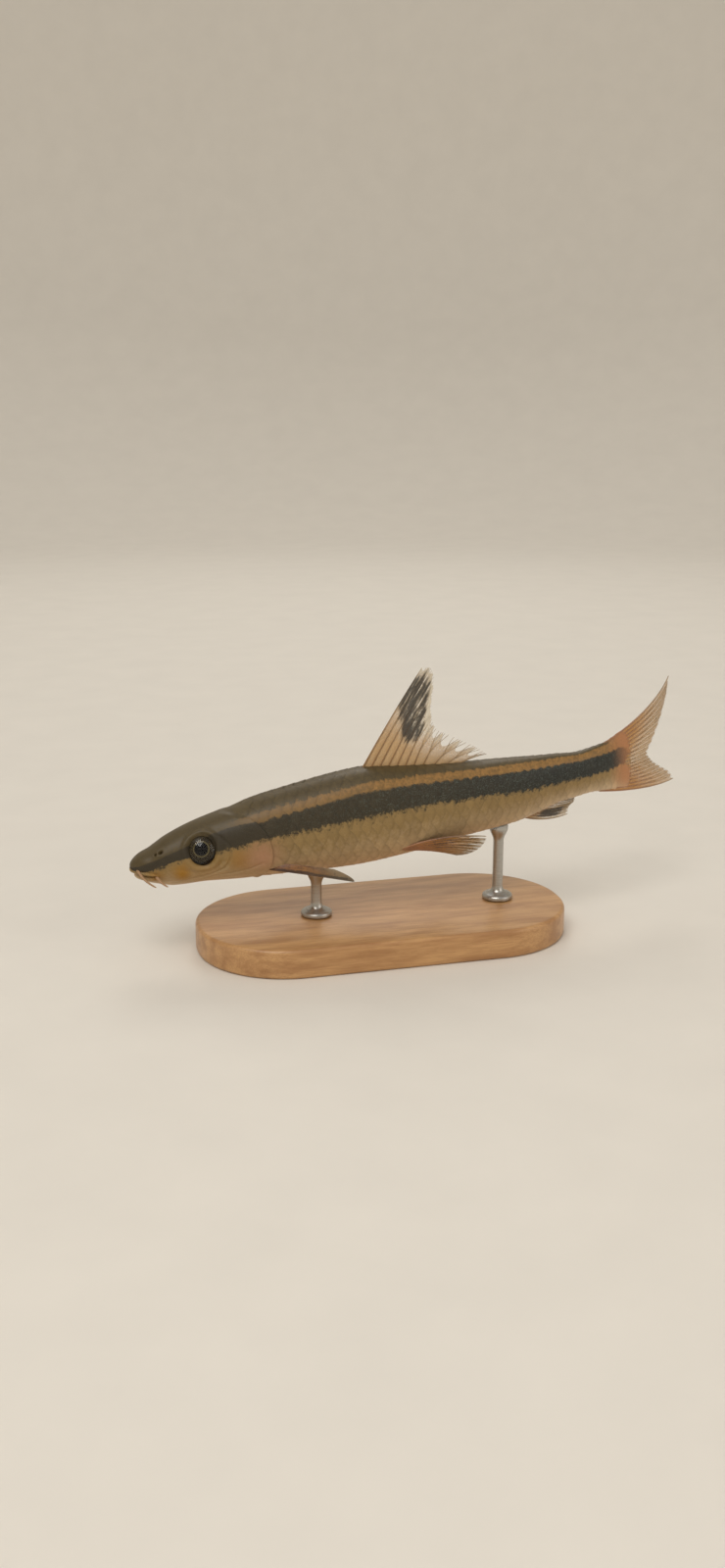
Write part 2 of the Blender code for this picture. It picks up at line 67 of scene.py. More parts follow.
# The body, with the same sizes and formulas as the solids
LENGTH = 105 * MM
NOSE_ROUND = 3.2 * MM
ROUNDNESS = 2.25
SECTIONS = (
    (0, 1.7, 2.6, 2.4),
    (4, 2.7, 4.2, 3.5),
    (8, 4.6, 5.5, 4.3),
    (13.5, 6.3, 5.9, 5.1),
    (21, 7.7, 6.9, 6.1),
    (29, 9.1, 7.8, 6.7),
    (48.5, 10.4, 9.5, 7.3),
    (58, 9.0, 9.3, 6.9),
    (70, 7.1, 8.5, 5.8),
    (80, 5.8, 8.3, 4.6),
    (86, 4.9, 7.5, 3.7),
    (92, 4.0, 6.6, 2.9),
    (98, 3.1, 6.6, 2.2),
    (105, 3.3, 7.6, 1.2),
)
PITCH = math.radians(8)
SWAY = math.radians(45)
SWAY_FROM = 58 * MM
SWAY_TO = 130 * MM
SWAY_STEPS = 24
MIDDLE = 52.5 * MM
AXIS_HEIGHT = 27 * MM

# The head
GILL_TOP = 20.5 * MM
GILL_BOTTOM = 22.5 * MM
GILL_BULGE = 6.0 * MM
GILL_LIP = 0.35 * MM
GILL_LIP_REACH = 3.5 * MM
EYE_ALONG = 14 * MM
EYE_TURN = math.radians(74)
EYE_RADIUS = 3.15 * MM
EYE_DEPTH = 1.9 * MM
EYE_PROUD = 0.6 * MM
MOUTH_CORNER = (3.9 * MM, -2.3 * MM)
MOUTH_SLOPE = math.radians(15)
SIDES = ((1, "right"), (-1, "left"))

# Fin rays as in the solids: share of the row, angle of the ray's tip in degrees, and length in millimetres
SINK = 1.6 * MM
DORSAL_ROOT = (48.6 * MM, 67.0 * MM)
DORSAL_RAYS = (
    (0.0, 48, 24.0),
    (0.1, 48, 23.7),
    (0.2, 48, 22.1),
    (0.3, 48, 18.9),
    (0.4, 50, 15.5),
    (0.5, 51, 11.9),
    (0.6, 52, 9.4),
    (0.7, 46, 8.1),
    (0.8, 27, 8.3),
    (0.9, 11, 9.0),
    (1.0, -1, 9.4),
)
DORSAL_CURL = (5, 24)
ANAL_ROOT = (80.5 * MM, 87.0 * MM)
ANAL_RAYS = (
    (0.0, -7, 13.0),
    (0.5, 0, 10.8),
    (1.0, 4, 8.5),
)
ANAL_CURL = (-38, -16)
TAIL_RAYS = (
    (0.0, 17, 28.0),
    (0.1, 13, 26.5),
    (0.2, 9, 22.8),
    (0.35, 3, 16.4),
    (0.5, -2, 12.5),
    (0.65, -5, 14.6),
    (0.8, -8, 19.4),
    (0.9, -10, 23.4),
    (1.0, -12, 25.0),
)
TAIL_CURL = (-9, -9)

# The photograph's camera
AZIMUTH = math.radians(-15)
ELEVATION = math.radians(15)
DISTANCE = 0.312
PHOTO_HEIGHT = 1600
FOCAL_PIXELS = 1556
SHIFT_PIXELS = (8.9, 31.2)  # how far right and down the photograph's frame moves the fish


def smooth_line(xs, ys):
    """A function that passes smoothly through the points, with no swing beyond them."""
    xs, ys = np.array(xs, float), np.array(ys, float)
    steps = np.diff(xs)
    slopes = np.diff(ys) / steps
    before, after = slopes[:-1], slopes[1:]
    level = before * after <= 0
    inner = np.where(level, 0.0, 2 * before * after / np.where(level, 1.0, before + after))
    tangents = np.concatenate((slopes[:1], inner, slopes[-1:]))

    def at(x):
        i = np.clip(np.searchsorted(xs, x, side="right") - 1, 0, len(steps) - 1)
        t = np.clip((x - xs[i]) / steps[i], 0.0, 1.0)
        rise = t * t * (3 - 2 * t)
        start = tangents[i] * steps[i] * t * (1 - t) ** 2
        end = tangents[i + 1] * steps[i] * t * t * (t - 1)
        return ys[i] + (ys[i + 1] - ys[i]) * rise + start + end

    return at


def mix(a, b, share):
    return a + (b - a) * share


def ease(share):
    """0 to 1, starting and ending gently."""
    share = np.clip(share, 0.0, 1.0)
    return share * share * (3 - 2 * share)


def hump(distance, spread):
    return np.exp(-((distance / spread) ** 2))


def unit(vectors):
    return vectors / np.maximum(np.linalg.norm(vectors, axis=-1, keepdims=True), 1e-12)


def section_line(column):
    return smooth_line([row[0] * MM for row in SECTIONS], [row[column] * MM for row in SECTIONS])


back_height, belly_depth, half_width = (section_line(column) for column in (1, 2, 3))


def heading(along):
    return SWAY * np.maximum(0.0, (along - SWAY_FROM) / (SWAY_TO - SWAY_FROM)) ** 2


def spine(along):
    """The bent axis seen from above: x and y."""
    bent = np.maximum(along - SWAY_FROM, 0.0)
    middles = (np.arange(SWAY_STEPS) + 0.5) / SWAY_STEPS
    turns = heading(SWAY_FROM + bent[..., None] * middles)
    return np.minimum(along, SWAY_FROM) + bent * np.cos(turns).mean(-1), bent * np.sin(turns).mean(-1)


def place(along, side, up):
    """Points of the straight fish, carried to their places over the stand."""
    along, side, up = np.broadcast_arrays(along, side, up)
    x, y = spine(along)
    turn = heading(along)
    x = x - side * np.sin(turn) - MIDDLE
    y = y + side * np.cos(turn)
    cosine, sine = math.cos(PITCH), math.sin(PITCH)
    return np.stack((cosine * x - sine * up, y, sine * x + cosine * up + AXIS_HEIGHT), -1)


def rounded(value):
    return np.copysign(np.abs(value) ** (2 / ROUNDNESS), value)


TAIL_FLESH = 6.5 * MM  # how far the flesh runs out over the middle of the tail fin
TAIL_FLESH_EDGE = 3.0 * MM  # and along its upper and lower edges
TAIL_FLESH_THIN = 0.22 * MM  # half its thickness where it ends
TAIL_RISE = 0.25  # how fast it spreads upwards with the rays
TAIL_DROP = 0.33


def section_point(along, turn):
    """Side and up of the skin, with the flesh that runs out over the tail fin."""
    blunt = np.sqrt(np.maximum(0.0, 1 - np.maximum(0.0, 1 - along / NOSE_ROUND) ** 2))
    past = np.maximum(along - LENGTH, 0.0)
    above = back_height(along) + TAIL_RISE * past
    below = belly_depth(along) + TAIL_DROP * past
    width = mix(half_width(along), TAIL_FLESH_THIN, np.clip(past / TAIL_FLESH, 0, 1) ** 0.8)
    height = np.where(np.cos(turn) > 0, above, below)
    return width * blunt * rounded(np.sin(turn)), height * blunt * rounded(np.cos(turn))


LEAST_AREA = 1e-16  # under this the skin has come to a point, and faces the way the fish looks


def on_skin(along, turn, lift=0.0):
    """Points of the skin, moved out of it by lift."""
    along, turn, lift = np.broadcast_arrays(along, turn, lift)
    step, twist = 0.05 * MM, 0.004
    here = place(along, *section_point(along, turn))
    back = place(along + step, *section_point(along + step, turn)) - here
    around = place(along, *section_point(along, turn + twist))
    around = around - place(along, *section_point(along, turn - twist))
    out = np.cross(back, around)
    area = np.linalg.norm(out, axis=-1, keepdims=True)
    forwards = unit(here - place(along + MM, 0.0, 0.0))
    out = np.where(area > LEAST_AREA, out / np.maximum(area, LEAST_AREA), forwards)
    return here + out * lift[..., None]


def gill_edge(turn):
    """Where the head ends and the trunk begins."""
    down = (1 - np.cos(turn)) / 2
    return mix(GILL_TOP, GILL_BOTTOM, down) + GILL_BULGE * np.abs(np.sin(turn)) ** 1.5


def wrapped(turn):
    """The turn from the middle of the back down either flank, 0 to half a turn."""
    return np.abs((turn + math.pi) % (2 * math.pi) - math.pi)


def away_from(along, turn, centre_along, centre_turn):
    """Distance over the skin from a place that both sides of the head have."""
    girth = (half_width(centre_along) + back_height(centre_along)) / 2
    return np.hypot(along - centre_along, girth * (wrapped(turn) - centre_turn))


def spot(along, turn, middle_along, middle_turn, spread):
    """A soft round spot on both sides of the head, 1 in its middle, given in millimetres and degrees."""
    return hump(away_from(along, turn, middle_along * MM, math.radians(middle_turn)), spread * MM)


def near_path(along, turn, path):
    """Distance over the skin from a line through (along in mm, turn in degrees) places."""
    nearest = np.full(np.shape(along), 1.0)
    girth = (half_width(along) + back_height(along)) / 2
    places = [(a * MM, math.radians(t)) for a, t in path]
    for (a0, t0), (a1, t1) in zip(places, places[1:]):
        length, across = a1 - a0, girth * (t1 - t0)
        share = (along - a0) * length + girth * (wrapped(turn) - t0) * across
        share = np.clip(share / (length**2 + across**2), 0, 1)
        gap = np.hypot(along - mix(a0, a1, share), girth * (wrapped(turn) - mix(t0, t1, share)))
        nearest = np.minimum(nearest, gap)
    return nearest


# Forms of the head's skin, in millimetres, with turns in degrees
MOUTH_FADE = 0.7  # behind the corner of the mouth
LIP = (0.30, 0.6, 0.36)  # height, distance from the line of the mouth, and spread
MOUTH_SLIT = (0.95, 0.2)  # depth and spread
BROW = (0.3, 3.45, 0.55)  # height, distance from the eye's middle, and spread
SOCKET_STEPS = ((0.35, 2.65, 0.5), (1.2, 2.2, 0.35))  # depth, distance from the eye's middle, and width
MOUNDS = (  # height, along, turn and spread
    (-0.25, 4.7, 128, 0.7),  # hollow behind the corner of the mouth
    (0.26, 5.6, 50, 0.95),  # rim of the nostril
    (-0.8, 5.18, 50, 0.22),  # its front hole
    (-1.0, 6.15, 50, 0.34),  # its rear hole
    (0.3, 10.5, 112, 3.0),  # cheek
    (0.22, 22.5, 92, 3.4),  # gill cover
)
GROOVES = (  # depth, spread, and the line of along and turn that each follows
    (0.22, 0.22, ((0.3, 98), (1.6, 104), (3.2, 106), (4.9, 112))),  # fold of the snout
    (0.12, 0.35, ((9.0, 100), (12.0, 112), (15.5, 112), (18.0, 98))),  # crescent under the eye
    (0.2, 0.28, (  # edge of the cheek
        (18.2, 62), (19.6, 78), (19.4, 95), (18.0, 112), (14.5, 126), (10.5, 134), (6.5, 140),
    )),
    (0.13, 0.25, ((25.4, 112), (22.5, 121), (19.0, 127), (15.5, 131))),  # lower plate of the gill cover
    (0.16, 0.3, ((12.0, 148), (17.0, 143), (22.0, 141))),  # folds of the throat
    (0.16, 0.3, ((13.0, 159), (18.0, 155), (22.5, 153))),
)  # fmt: skip
PORE = (0.06, 0.12)  # depth and spread
PORE_LINES = (
    ((6.0, 84), (8.5, 93), (11.0, 102), (14.0, 107), (17.0, 100), (18.6, 88)),
    ((8.0, 36), (11.0, 40), (14.5, 42), (18.0, 47)),
    ((9.0, 138), (13.0, 130), (17.0, 117), (18.8, 103)),
)
PORES_PER_STRETCH = 3  # from one place of such a line to the next


def pores(along, turn):
    """How near a sensory pore of the head is, 0 to 1."""
    near = np.zeros(np.shape(along))
    for line in PORE_LINES:
        stations = np.linspace(0, len(line) - 1, PORES_PER_STRETCH * (len(line) - 1) + 1)
        for pore in zip(*(np.interp(stations, range(len(line)), values) for values in zip(*line))):
            near = np.maximum(near, spot(along, turn, *pore, PORE[1]))
    return near


def mouth_height(along):
    """The line of the mouth, as a height over the body's axis."""
    return MOUTH_CORNER[1] + math.tan(MOUTH_SLOPE) * (MOUTH_CORNER[0] - along)


def relief(along, turn):
    """The head's forms, as a lift of the skin."""
    from_mouth = (section_point(along, turn)[1] - mouth_height(along)) / MM
    from_eye = away_from(along, turn, EYE_ALONG, EYE_TURN) / MM
    in_front = 1 - ease((along - MOUTH_CORNER[0]) / (MOUTH_FADE * MM))
    lips = LIP[0] * hump(np.abs(from_mouth) - LIP[1], LIP[2])
    mouth = lips - MOUTH_SLIT[0] * hump(from_mouth, MOUTH_SLIT[1])
    lift = mouth * in_front + BROW[0] * hump(from_eye - BROW[1], BROW[2])
    for depth, start, width in SOCKET_STEPS:
        lift = lift - depth * (1 - ease((from_eye - start) / width))
    for height, *where in MOUNDS:
        lift = lift + height * spot(along, turn, *where)
    for depth, spread, line in GROOVES:
        lift = lift - depth * hump(near_path(along, turn, line), spread * MM)
    lip = GILL_LIP * ease(1 - (gill_edge(turn) - along) / GILL_LIP_REACH) * np.abs(np.sin(turn)) ** 3
    return (lift - PORE[0] * pores(along, turn)) * MM + lip


# Where the markings lie: along in millimetres, and turn from the back in degrees
GOLD_TOP = (
    (0, 64), (8, 52), (20, 41), (30, 42), (45, 40), (55, 37), (65, 32), (75, 32), (88, 31), (97, 27),
    (112, 30),
)  # fmt: skip
STRIPE_TOP = (
    (0, 88), (4, 71), (9, 65), (14, 56), (20, 50), (28, 55), (40, 53), (52, 51), (62, 48), (70, 49), (80, 54),
    (90, 58), (98, 62), (104, 73), (108.5, 79), (111.5, 96),
)  # fmt: skip
STRIPE_BOTTOM = (
    (0, 110), (3, 100), (6, 91), (11, 85), (20, 83), (27, 80), (40, 81), (55, 81), (62, 82), (70, 85),
    (78, 92), (88, 99), (93, 104), (98, 108), (105, 109), (108.5, 106), (111.5, 97),
)  # fmt: skip
LEAST_BAND = 0.01  # the least turn that a band takes, so that no share is divided by nothing

# Soft tints of the face: along, turn and spread of each, in millimetres and degrees
GOLD_TINTS = (  # with the strength of each first
    (1.0, 9.6, 112, 1.9),  # cheek
    (0.7, 4.6, 122, 1.7),  # jaw
    (0.6, 21.0, 101, 2.4),  # gill cover
    (0.3, 13.0, 122, 5.5),  # lower cheek
)
BLUSH = (25.5, 102, 3.4)
THROAT_TURN = math.radians(128)
THROAT_FADE = math.radians(30)


def marking_line(places):
    return smooth_line([a * MM for a, _ in places], [math.radians(t) for _, t in places])


gold_top, stripe_top, stripe_bottom = map(marking_line, (GOLD_TOP, STRIPE_TOP, STRIPE_BOTTOM))


def band(along, turn):
    """0 on the back, 1 where the gold band begins, 2 and 3 at the stripe's edges, 4 under the belly."""
    turn = wrapped(turn)
    lines = (np.zeros(np.shape(turn)), gold_top(along), stripe_top(along), stripe_bottom(along), math.pi)
    found = np.zeros(np.shape(turn))
    for start, end in zip(lines, lines[1:]):
        found = found + np.clip((turn - start) / np.maximum(end - start, LEAST_BAND), 0, 1)
    return found


def face_tints(along, turn):
    """Three soft tints: gold on the cheek, jaw and gill cover, pink behind them, and pallor of the throat."""
    gold = np.maximum.reduce([strength * spot(along, turn, *where) for strength, *where in GOLD_TINTS])
    pale = ease((wrapped(turn) - THROAT_TURN) / THROAT_FADE)
    return np.stack(np.broadcast_arrays(gold, spot(along, turn, *BLUSH), pale), -1)


def colour(code):
    """Turns an sRGB hex value into linear light."""
    parts = [int(code[i : i + 2], 16) / 255 for i in (1, 3, 5)]
    return tuple(p / 12.92 if p <= 0.04045 else ((p + 0.055) / 1.055) ** 2.4 for p in parts)


def swatch(name, description, code):
    return bpy.props.FloatVectorProperty(
        name=name, description=description, subtype="COLOR", size=3, min=0, max=1, default=colour(code)
    )


def size(name, description, millimetres):
    return bpy.props.FloatProperty(
        name=name, description=description, default=millimetres * MM, min=0, unit="LENGTH", precision=5
    )


def power(name, description, watts):
    return bpy.props.FloatProperty(name=name, description=description, default=watts, min=0, unit="POWER")


class FoxSkinLook(bpy.types.PropertyGroup):
    """The skin and its scales."""

    back: swatch("Back", "Olive brown of the back and the top of the head", "#5b4d30")
    gold: swatch("Gold band", "Band above the stripe", "#98723f")
    stripe: swatch("Stripe", "Dark stripe, at the head and along the trunk", "#3a3223")
    stripe_end: swatch("Stripe, rear", "The same stripe along the tail stalk", "#24231e")
    # The glint is a painted reflection: the blue-green shine of the stripe's iridescent specks, painted into
    # its colour
    glint: swatch("Glint", "Blue-green sparkle in the stripe", "#5b6860")
    flank: swatch("Flank", "Flank below the stripe", "#8f764a")
    # The belly's colour is its own pale tone made paler still: partly painted light, as if thrown up from
    # below
    belly: swatch("Belly", "Belly and throat", "#d2b896")
    cheek: swatch("Cheek", "Gold patch under the eye and along the jaw", "#9c6c12")
    blush: swatch("Blush", "Pink of the gill cover", "#b98468")
    tail_root: swatch("Tail root", "Warm flesh where the tail fin begins", "#bc8257")
    coat: size("Coat depth", "How deep the skin lies under the free edges of the scales", 0.18)
    scale_spacing: size("Scale spacing", "From one scale to the next in a row, at the shoulder", 2.3)
    scale_rows: size("Row spacing", "From one row of scales to the next, at the shoulder", 2.3)


class FoxFinLook(bpy.types.PropertyGroup):
    """The fins."""

    clear: swatch("Membrane", "Thin clear membrane between the rays", "#d2bf9e")
    amber: swatch("Amber", "Warm colour near the roots of the dorsal and tail fins", "#c4924f")
    coral: swatch("Coral", "Reddish flesh tone of the tail and the paired fins", "#a36a49")
    black: swatch("Blotch", "Black blotches of the dorsal and anal fins", "#24262a")
    white: swatch("Edge", "White edges of the blotches", "#e6dcc8")
    ray: swatch("Ray", "Bony rays of the fins", "#866236")
    web: size("Membrane thickness", "Thickness of the membrane between rays", 0.1)


class FoxEyeLook(bpy.types.PropertyGroup):
    """The eyes."""

    iris: swatch("Iris", "Dark iris", "#2c2417")
    fleck: swatch("Flecks", "Brassy flecks in the iris", "#54482c")
    ring: swatch("Ring", "Thin pale ring round the pupil", "#786e4a")
    pupil: size("Pupil radius", "Radius of the pupil", 1.35)


class FoxStandLook(bpy.types.PropertyGroup):
    """The display stand."""

    wood: swatch("Beech", "Light colour of the base's wood", "#c79a66")
    grain: swatch("Grain", "Darker lines of its grain", "#9c6d40")
    steel: swatch("Steel", "Colour of the brushed rods", "#b9b7b2")
    edge: size("Rounded edge", "Radius of the base's rounded upper edge", 0.8)


class FoxStageLook(bpy.types.PropertyGroup):
    """Floor and light, which aren't part of the model."""

    floor: swatch("Floor", "Colour of the plain floor and backdrop", "#e4dfd6")
    key: power("Key light", "Power of the main soft light", 3.4)
    fill: power("Fill light", "Power of the weak front light", 1.0)
    rim: power("Rim light", "Power of the light behind", 1.2)


COLOURS = {"data_type": "RGBA"}
SMOOTH = {"interpolation_type": "SMOOTHSTEP"}


def feed(tree, socket, value):
    """Links a socket to another's output, or sets it, to a colour without alpha where it holds a colour."""
    if isinstance(value, bpy.types.NodeSocket):
        tree.links.new(value, socket)
    elif value is not None:
        socket.default_value = (*value, 1.0) if socket.type == "RGBA" else value


def add_node(tree, kind, *values, output=0, **settings):
    """Adds a node, sets it up, fills its inputs in order, and gives back an output, or a slice of them."""
    node = tree.nodes.new("ShaderNode" + kind)
    for name, value in settings.items():
        setattr(node, name, value)
    for socket, value in zip([socket for socket in node.inputs if socket.enabled], values):
        feed(tree, socket, value)
    return [socket for socket in node.outputs if socket.enabled][output]


def set_shader(made, **sockets):
    """Fills the sockets of a material's shader, and gives back the material."""
    shader = made.node_tree.nodes["Principled BSDF"]
    for name, value in sockets.items():
        feed(made.node_tree, shader.inputs[name.replace("_", " ")], value)
    return made


def new_finish(name, **sockets):
    """A material with its shader's sockets set, and the function that adds nodes to it."""
    made = bpy.data.materials.new(name)
    made.use_nodes = True
    return set_shader(made, **sockets), functools.partial(add_node, made.node_tree)


def wet_fish_skin(look):
    """Wet, finely scaled fish skin: soft sheen, dark edges on the scales, ragged edges on stripe and band."""
    made, add = new_finish("wet_fish_skin", Roughness=0.45, IOR=1.36, Coat_Weight=0.12, Coat_Roughness=0.34)
    names = ("marks", "plate", "tints")
    marks, plate, tints = (add("Attribute", attribute_name=name, output=1) for name in names)
    along, level, rim = add("SeparateXYZ", marks, output=slice(3))  # level is what band() gives
    across, random, lengthways = add("SeparateXYZ", plate, output=slice(3))
    cheek, blush, pale = add("SeparateXYZ", tints, output=slice(3))
    here = add("TexCoord", output=3)
    blotches = add("TexNoise", here, 420.0, 3.0, 0.6)  # patches about 2.4 mm across
    speckle = add("TexNoise", here, 1700.0, 2.0, 0.6)  # pigment cells, drawn about 0.6 mm across
    dust = add("TexNoise", here, 5200.0, 2.0, 0.5)  # the finest pigment, about 0.2 mm
    for texture, sway in ((speckle, 0.3), (blotches, 0.2)):  # the markings' edges wander
        wander = add("Math", texture, 0.5, operation="SUBTRACT")
        level = add("Math", wander, sway, level, operation="MULTIPLY_ADD")

    dark_back = add("Mix", 0.35, look.back, look.stripe, **COLOURS)
    back = add("MapRange", speckle, 0.35, 0.7, 0.0, 0.8)
    back = add("Mix", back, dark_back, look.back, **COLOURS)
    rearward = add("MapRange", along, 0.2, 0.55, 0.1, 1.0)  # band and stripe are duller towards the head
    deep_gold = add("Mix", 0.7, look.gold, look.back, **COLOURS)
    gold = add("MapRange", speckle, 0.35, 0.6, 0.25, 1.0)
    gold = add("Math", gold, rearward, operation="MULTIPLY")
    gold = add("Mix", gold, deep_gold, look.gold, **COLOURS)
    # Painted glints: specks of the stripe take on the blue-green reflection of its iridescent cells, fewer
    # towards the head
    sparkle = add("MapRange", dust, 0.47, 0.7, 0.0, 0.7)
    patchy = add("MapRange", speckle, 0.36, 0.62, 0.15, 1.0)
    for dim in (patchy, rearward):
        sparkle = add("Math", sparkle, dim, operation="MULTIPLY")
    darker = add("MapRange", along, 0.5, 0.85)
    black = add("Mix", darker, look.stripe, look.stripe_end, **COLOURS)
    black = add("Mix", sparkle, black, look.glint, **COLOURS)
    # Under the stripe the flank pales to the belly: partly the belly's own pale colour, partly painted light
    # from below
    low = add("MapRange", level, 3.12, 3.85)
    flank = add("Mix", low, look.flank, look.belly, **COLOURS)
    pepper = add("MapRange", dust, 0.6, 0.75, 0.0, 0.35)
    high = add("MapRange", level, 3.7, 3.05)
    pepper = add("Math", pepper, high, operation="MULTIPLY")
    flank = add("Mix", pepper, flank, look.back, **COLOURS)

    on_body = add("MapRange", along, 0.17, 0.25, **SMOOTH)
    edges = ((0.92, 1.12), (1.9, 2.08), (2.93, 3.05), (2.95, 3.1))
    in_gold, in_stripe, in_flank, off_stripe = (add("MapRange", level, *edge, **SMOOTH) for edge in edges)
    in_gold = add("Math", in_gold, on_body, operation="MULTIPLY")
    cheek, blush = (add("Math", tint, off_stripe, operation="MULTIPLY") for tint in (cheek, blush))
    strengths = ((cheek, 0.95), (blush, 0.6), (pale, 0.35))
    cheek, blush, pale = (add("Math", tint, most, operation="MULTIPLY") for tint, most in strengths)
    from_stripe = add("Math", level, 2.5, operation="SUBTRACT")
    from_stripe = add("Math", from_stripe, operation="ABSOLUTE")
    beside = add("MapRange", from_stripe, 0.3, 0.62, **SMOOTH)
    behind = add("MapRange", along, 1.0, 1.06, 0.0, 0.75)
    beside = add("Math", beside, behind, operation="MAXIMUM")
    tail_end = add("MapRange", along, 0.985, 1.05, 0.0, 0.9, **SMOOTH)
    tail_end = add("Math", tail_end, beside, operation="MULTIPLY")
    colours = back
    for share, tone in (
        (in_gold, gold),
        (in_stripe, black),
        (in_flank, flank),
        (cheek, look.cheek),
        (blush, look.blush),
        (tail_end, look.tail_root),
        (pale, look.belly),
    ):
        colours = add("Mix", share, colours, tone, **COLOURS)
    shade = add("MapRange", rim, 0.72, 1.0, 0.0, 0.14, **SMOOTH)
    colours = add("Mix", shade, colours, look.stripe, **COLOURS, blend_type="MULTIPLY")
    tone = add("MapRange", random, 0.0, 1.0, 0.92, 1.07)
    fine = add("MapRange", dust, 0.3, 0.7, 0.93, 1.07)
    tone = add("Math", tone, fine, operation="MULTIPLY")
    colours = add("HueSaturation", 0.5, 1.0, tone, 1.0, colours)

    striae = add("Math", across, 60.0, operation="MULTIPLY")  # about 19 grooves across a scale
    striae = add("Math", striae, operation="SINE")
    striae = add("Math", striae, lengthways, operation="MULTIPLY")
    heights = add("Math", striae, 0.25, dust, operation="MULTIPLY_ADD")
    heights = add("Math", speckle, 1.6, heights, operation="MULTIPLY_ADD")
    bump = add("Bump", 0.45, 0.03 * MM, None, heights)
    gloss = add("MapRange", speckle, 0.3, 0.7, 0.38, 0.54)
    return set_shader(made, Base_Color=colours, Normal=bump, Roughness=gloss)


def fin_pigment(add):
    """What both finishes of the fins read: layout, dark, warm and pale pigment, and a sway about 0."""
    layout, marks = (add("Attribute", attribute_name=name, output=1) for name in ("fin", "fin_marks"))
    speckle = add("TexNoise", add("TexCoord", output=3), 1500.0, 3.0, 0.65)  # drawn about 0.7 mm across
    return layout, add("SeparateXYZ", marks, output=slice(3)), add("Math", speckle, 0.5, operation="SUBTRACT")


def fin_membrane(look):
    """Thin moist membrane, clear at the edge, tinted at the root, with black and white pigment where marked.

    The warm pigment runs from clear at 0 over amber at 1 to coral at 2.
    """
    made, add = new_finish("fin_membrane", Roughness=0.35, IOR=1.38, Coat_Weight=0.2, Coat_Roughness=0.2)
    layout, (dark, warm, pale), wander = fin_pigment(add)
    reach, ray = add("SeparateXYZ", layout, output=slice(1, 3))
    dust = add("TexNoise", add("TexCoord", output=3), 4800.0, 2.0, 0.5)  # about 0.2 mm
    streaks = add("Mapping", layout, None, None, (36.0, 3.5, 0.0))
    streaks = add("TexNoise", streaks, 1.0, 2.0, 0.6)  # pigment runs out along the rays
    streaks = add("Math", streaks, 0.5, operation="SUBTRACT")
    for source, strength in ((streaks, 2.2), (wander, 0.7), (ray, -0.28)):
        dark = add("Math", source, strength, dark, operation="MULTIPLY_ADD")
    dark = add("MapRange", dark, 0.2, 0.8, 0.0, 0.9, **SMOOTH)
    warm = add("Math", wander, 0.4, warm, operation="MULTIPLY_ADD")
    red = add("MapRange", warm, 1.0, 2.0)
    warm = add("MapRange", warm, 0.0, 1.0)
    pale = add("Math", wander, 0.5, pale, operation="MULTIPLY_ADD", use_clamp=True)
    colours = add("Mix", red, look.amber, look.coral, **COLOURS)
    colours = add("Mix", warm, look.clear, colours, **COLOURS)
    for share, tone in ((pale, look.white), (dark, look.black)):
        colours = add("Mix", share, colours, tone, **COLOURS)

    cover = add("MapRange", dust, 0.3, 0.7, 0.2, 0.32)
    for source, strength in ((warm, 0.32), (pale, 0.35)):
        cover = add("Math", source, strength, cover, operation="MULTIPLY_ADD")
    cover = add("Math", dark, 0.6, cover, operation="MULTIPLY_ADD", use_clamp=True)
    beside = add("MapRange", ray, 0.35, 0.0, 0.0, 0.2)
    cover = add("Math", cover, beside, operation="ADD")
    root = add("MapRange", reach, 0.22, 0.6, 0.4, 0.0, **SMOOTH)
    cover = add("Math", cover, root, operation="ADD", use_clamp=True)
    bump = add("Bump", 0.25, 0.03 * MM, None, dust)
    return set_shader(made, Base_Color=colours, Alpha=cover, Normal=bump)


def fin_ray(look):
    """Jointed, bony fin rays: horn-brown, paler outwards, black or coral with the fin, darker at joints."""
    made, add = new_finish("fin_ray", Roughness=0.4, IOR=1.45, Coat_Weight=0.2, Coat_Roughness=0.2)
    layout, (dark, warm, pale), wander = fin_pigment(add)
    reach, joint = add("SeparateXYZ", layout, output=slice(1, 3))
    dark = add("Math", wander, 0.8, dark, operation="MULTIPLY_ADD")
    dark = add("MapRange", dark, 0.3, 0.75, 0.0, 0.75, **SMOOTH)
    fade = add("MapRange", reach, 0.15, 1.0, 0.1, 0.55)
    warm = add("MapRange", warm, 0.5, 1.7, 0.0, 0.85)
    pale = add("Math", pale, 0.8, operation="MULTIPLY", use_clamp=True)
    joint = add("Math", joint, 0.35, operation="MULTIPLY")
    colours = add("Mix", fade, look.ray, look.clear, **COLOURS)
    for share, tone in ((warm, look.coral), (pale, look.white), (dark, look.black), (joint, look.black)):
        colours = add("Mix", share, colours, tone, **COLOURS)
    cover = add("MapRange", reach, 0.5, 1.05, 1.0, 0.55)
    cover = add("Math", dark, cover, operation="ADD", use_clamp=True)
    return set_shader(made, Base_Color=colours, Alpha=cover)


IRIS_EDGE = (0.006, 0.006, 0.006)
PUPIL_BLACK = (0.004, 0.004, 0.005)


